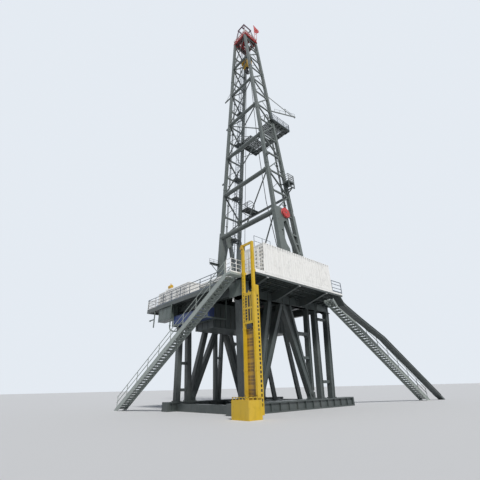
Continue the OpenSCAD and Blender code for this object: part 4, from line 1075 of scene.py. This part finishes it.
# Drawworks: ribs and bands of the housing, covers, a low beam on two posts beside it
WINCH_X, WINCH_Y0, WINCH_Y1 = -3.748, 0.9, 3.8
WINCH_ENDS = ((WINCH_Y0, -1), (WINCH_Y1, 1))
WINCH_Z0, WINCH_Z1 = FLOOR + 0.02, FLOOR + 0.75
BEAM_X, BEAM_Z0, BEAM_Z1 = -3.0, 5.14, 5.3
winch = Build()
for y in row(10, 0.98, 0.304):
    winch.box((WINCH_X - 0.014, WINCH_X), span(y, 0.012), (WINCH_Z0, WINCH_Z1))
for z in (WINCH_Z0 + 0.01, WINCH_Z1 - 0.01):
    winch.box((WINCH_X - 0.016, WINCH_X), (WINCH_Y0 + 0.005, WINCH_Y1 - 0.005), span(z, 0.015))
    for y, s in WINCH_ENDS:
        winch.box((-3.745, -2.255), (y - s * 0.002, y + s * 0.014), span(z, 0.015))
for x in row(6, -3.62, 0.25):
    for y, s in WINCH_ENDS:
        winch.box(span(x, 0.012), (y - s * 0.002, y + s * 0.012), (WINCH_Z0, WINCH_Z1))
for y in (1.4, 1.9, 2.4):
    winch.disc((BEAM_X, y, 5.435), UP, 0.13, 0.03, 24)
winch.box(span(BEAM_X, 0.08), (-1.3, WINCH_Y0 + 0.01), (BEAM_Z0, BEAM_Z1))
for y in (-1.2, -0.1):
    winch.box(span(BEAM_X, 0.05), span(y, 0.03), (FLOOR + 0.001, BEAM_Z0 + 0.005))
winch.piece("winch_ribs", WHITE, 0.003)
# flat dark strips for the housing's louvres: painted shade
louvre_shade = Build()
for y in (1.29, 1.9, 2.5, 3.11, 3.42):
    for z in row(5, 4.75, 0.08):
        louvre_shade.box((-3.7515, -3.7485), span(y, 0.1), (z, z + 0.035))
louvre_shade.piece("winch_louvre_shade", DARK)
MOTOR_X, MOTOR_Y, MOTOR_Z = -3.42, 3.2, 5.64
motor = Build()
motor.rod((MOTOR_X, MOTOR_Y - 0.12, MOTOR_Z), (MOTOR_X, MOTOR_Y + 0.12, MOTOR_Z), 0.095, 20)
motor.box(span(MOTOR_X, 0.08), span(MOTOR_Y, 0.1), (5.525, MOTOR_Z - 0.04))
motor.post(MOTOR_X, MOTOR_Y, MOTOR_Z + 0.06, MOTOR_Z + 0.18, 0.022, 12)
motor.piece("winch_motor", ORANGE)

# barred panel on the handrail at the left rear corner
lattice = Build()
for y in row(8, 3.5, 0.13):
    lattice.box((-4.008, -3.998), span(y, 0.01), (4.555, 4.98))
for z in row(4, 4.57, 0.13):
    lattice.box((-4.009, -3.997), (3.49, 4.43), span(z, 0.01))
lattice.piece("corner_panel", WHITE)

# Setting: pale ground, pale background for the camera and reflections, soft light
GROUND_HALF = 600
GROUND_COLOUR = (0.62, 0.63, 0.645, 1)
AMBIENT = (0.178, 0.2, 0.236, 1)  # what lights the object
BACKGROUND = (0.78, 0.83, 0.89, 1)  # what the camera, reflections and glass see
SUN_FROM, SUN_POWER, SUN_SPREAD = (-0.5, -1.0, 1.1), 3.2, 10
SUN_COLOUR = (1.0, 0.975, 0.94)
ground_mesh = bpy.data.meshes.new("ground")
ground_mesh.from_pydata([(GROUND_HALF * x, GROUND_HALF * y, 0) for x, y in (
    (-1, -1), (1, -1), (1, 1), (-1, 1))], [], [(0, 1, 2, 3)])
ground = put("ground", ground_mesh)
ground_look = bpy.data.materials.new("ground")
ground_look.use_nodes = True
shader = ground_look.node_tree.nodes["Principled BSDF"]
shader.inputs["Base Color"].default_value = GROUND_COLOUR
shader.inputs["Roughness"].default_value = 0.9
ground.data.materials.append(ground_look)

world = bpy.data.worlds.new("studio")
scene.world = world
world.use_nodes = True
wt = world.node_tree
rays = node(wt, "LightPath", {}).outputs
seen = rays["Is Camera Ray"]
for kind in ("Is Glossy Ray", "Is Transmission Ray"):
    seen = node(wt, "Math", {0: seen, 1: rays[kind]}, operation="MAXIMUM").outputs[0]
tint = node(wt, "Mix", {0: seen, 6: AMBIENT, 7: BACKGROUND}, data_type="RGBA")
wt.links.new(tint.outputs[2], wt.nodes["Background"].inputs["Color"])
sun = bpy.data.lights.new("key", "SUN")
sun.energy = SUN_POWER
sun.angle = radians(SUN_SPREAD)
sun.color = SUN_COLOUR
sun_obj = put("key", sun)
sun_obj.rotation_euler = Vector(SUN_FROM).to_track_quat("Z", "Y").to_euler()
scene.view_settings.view_transform = "Standard"
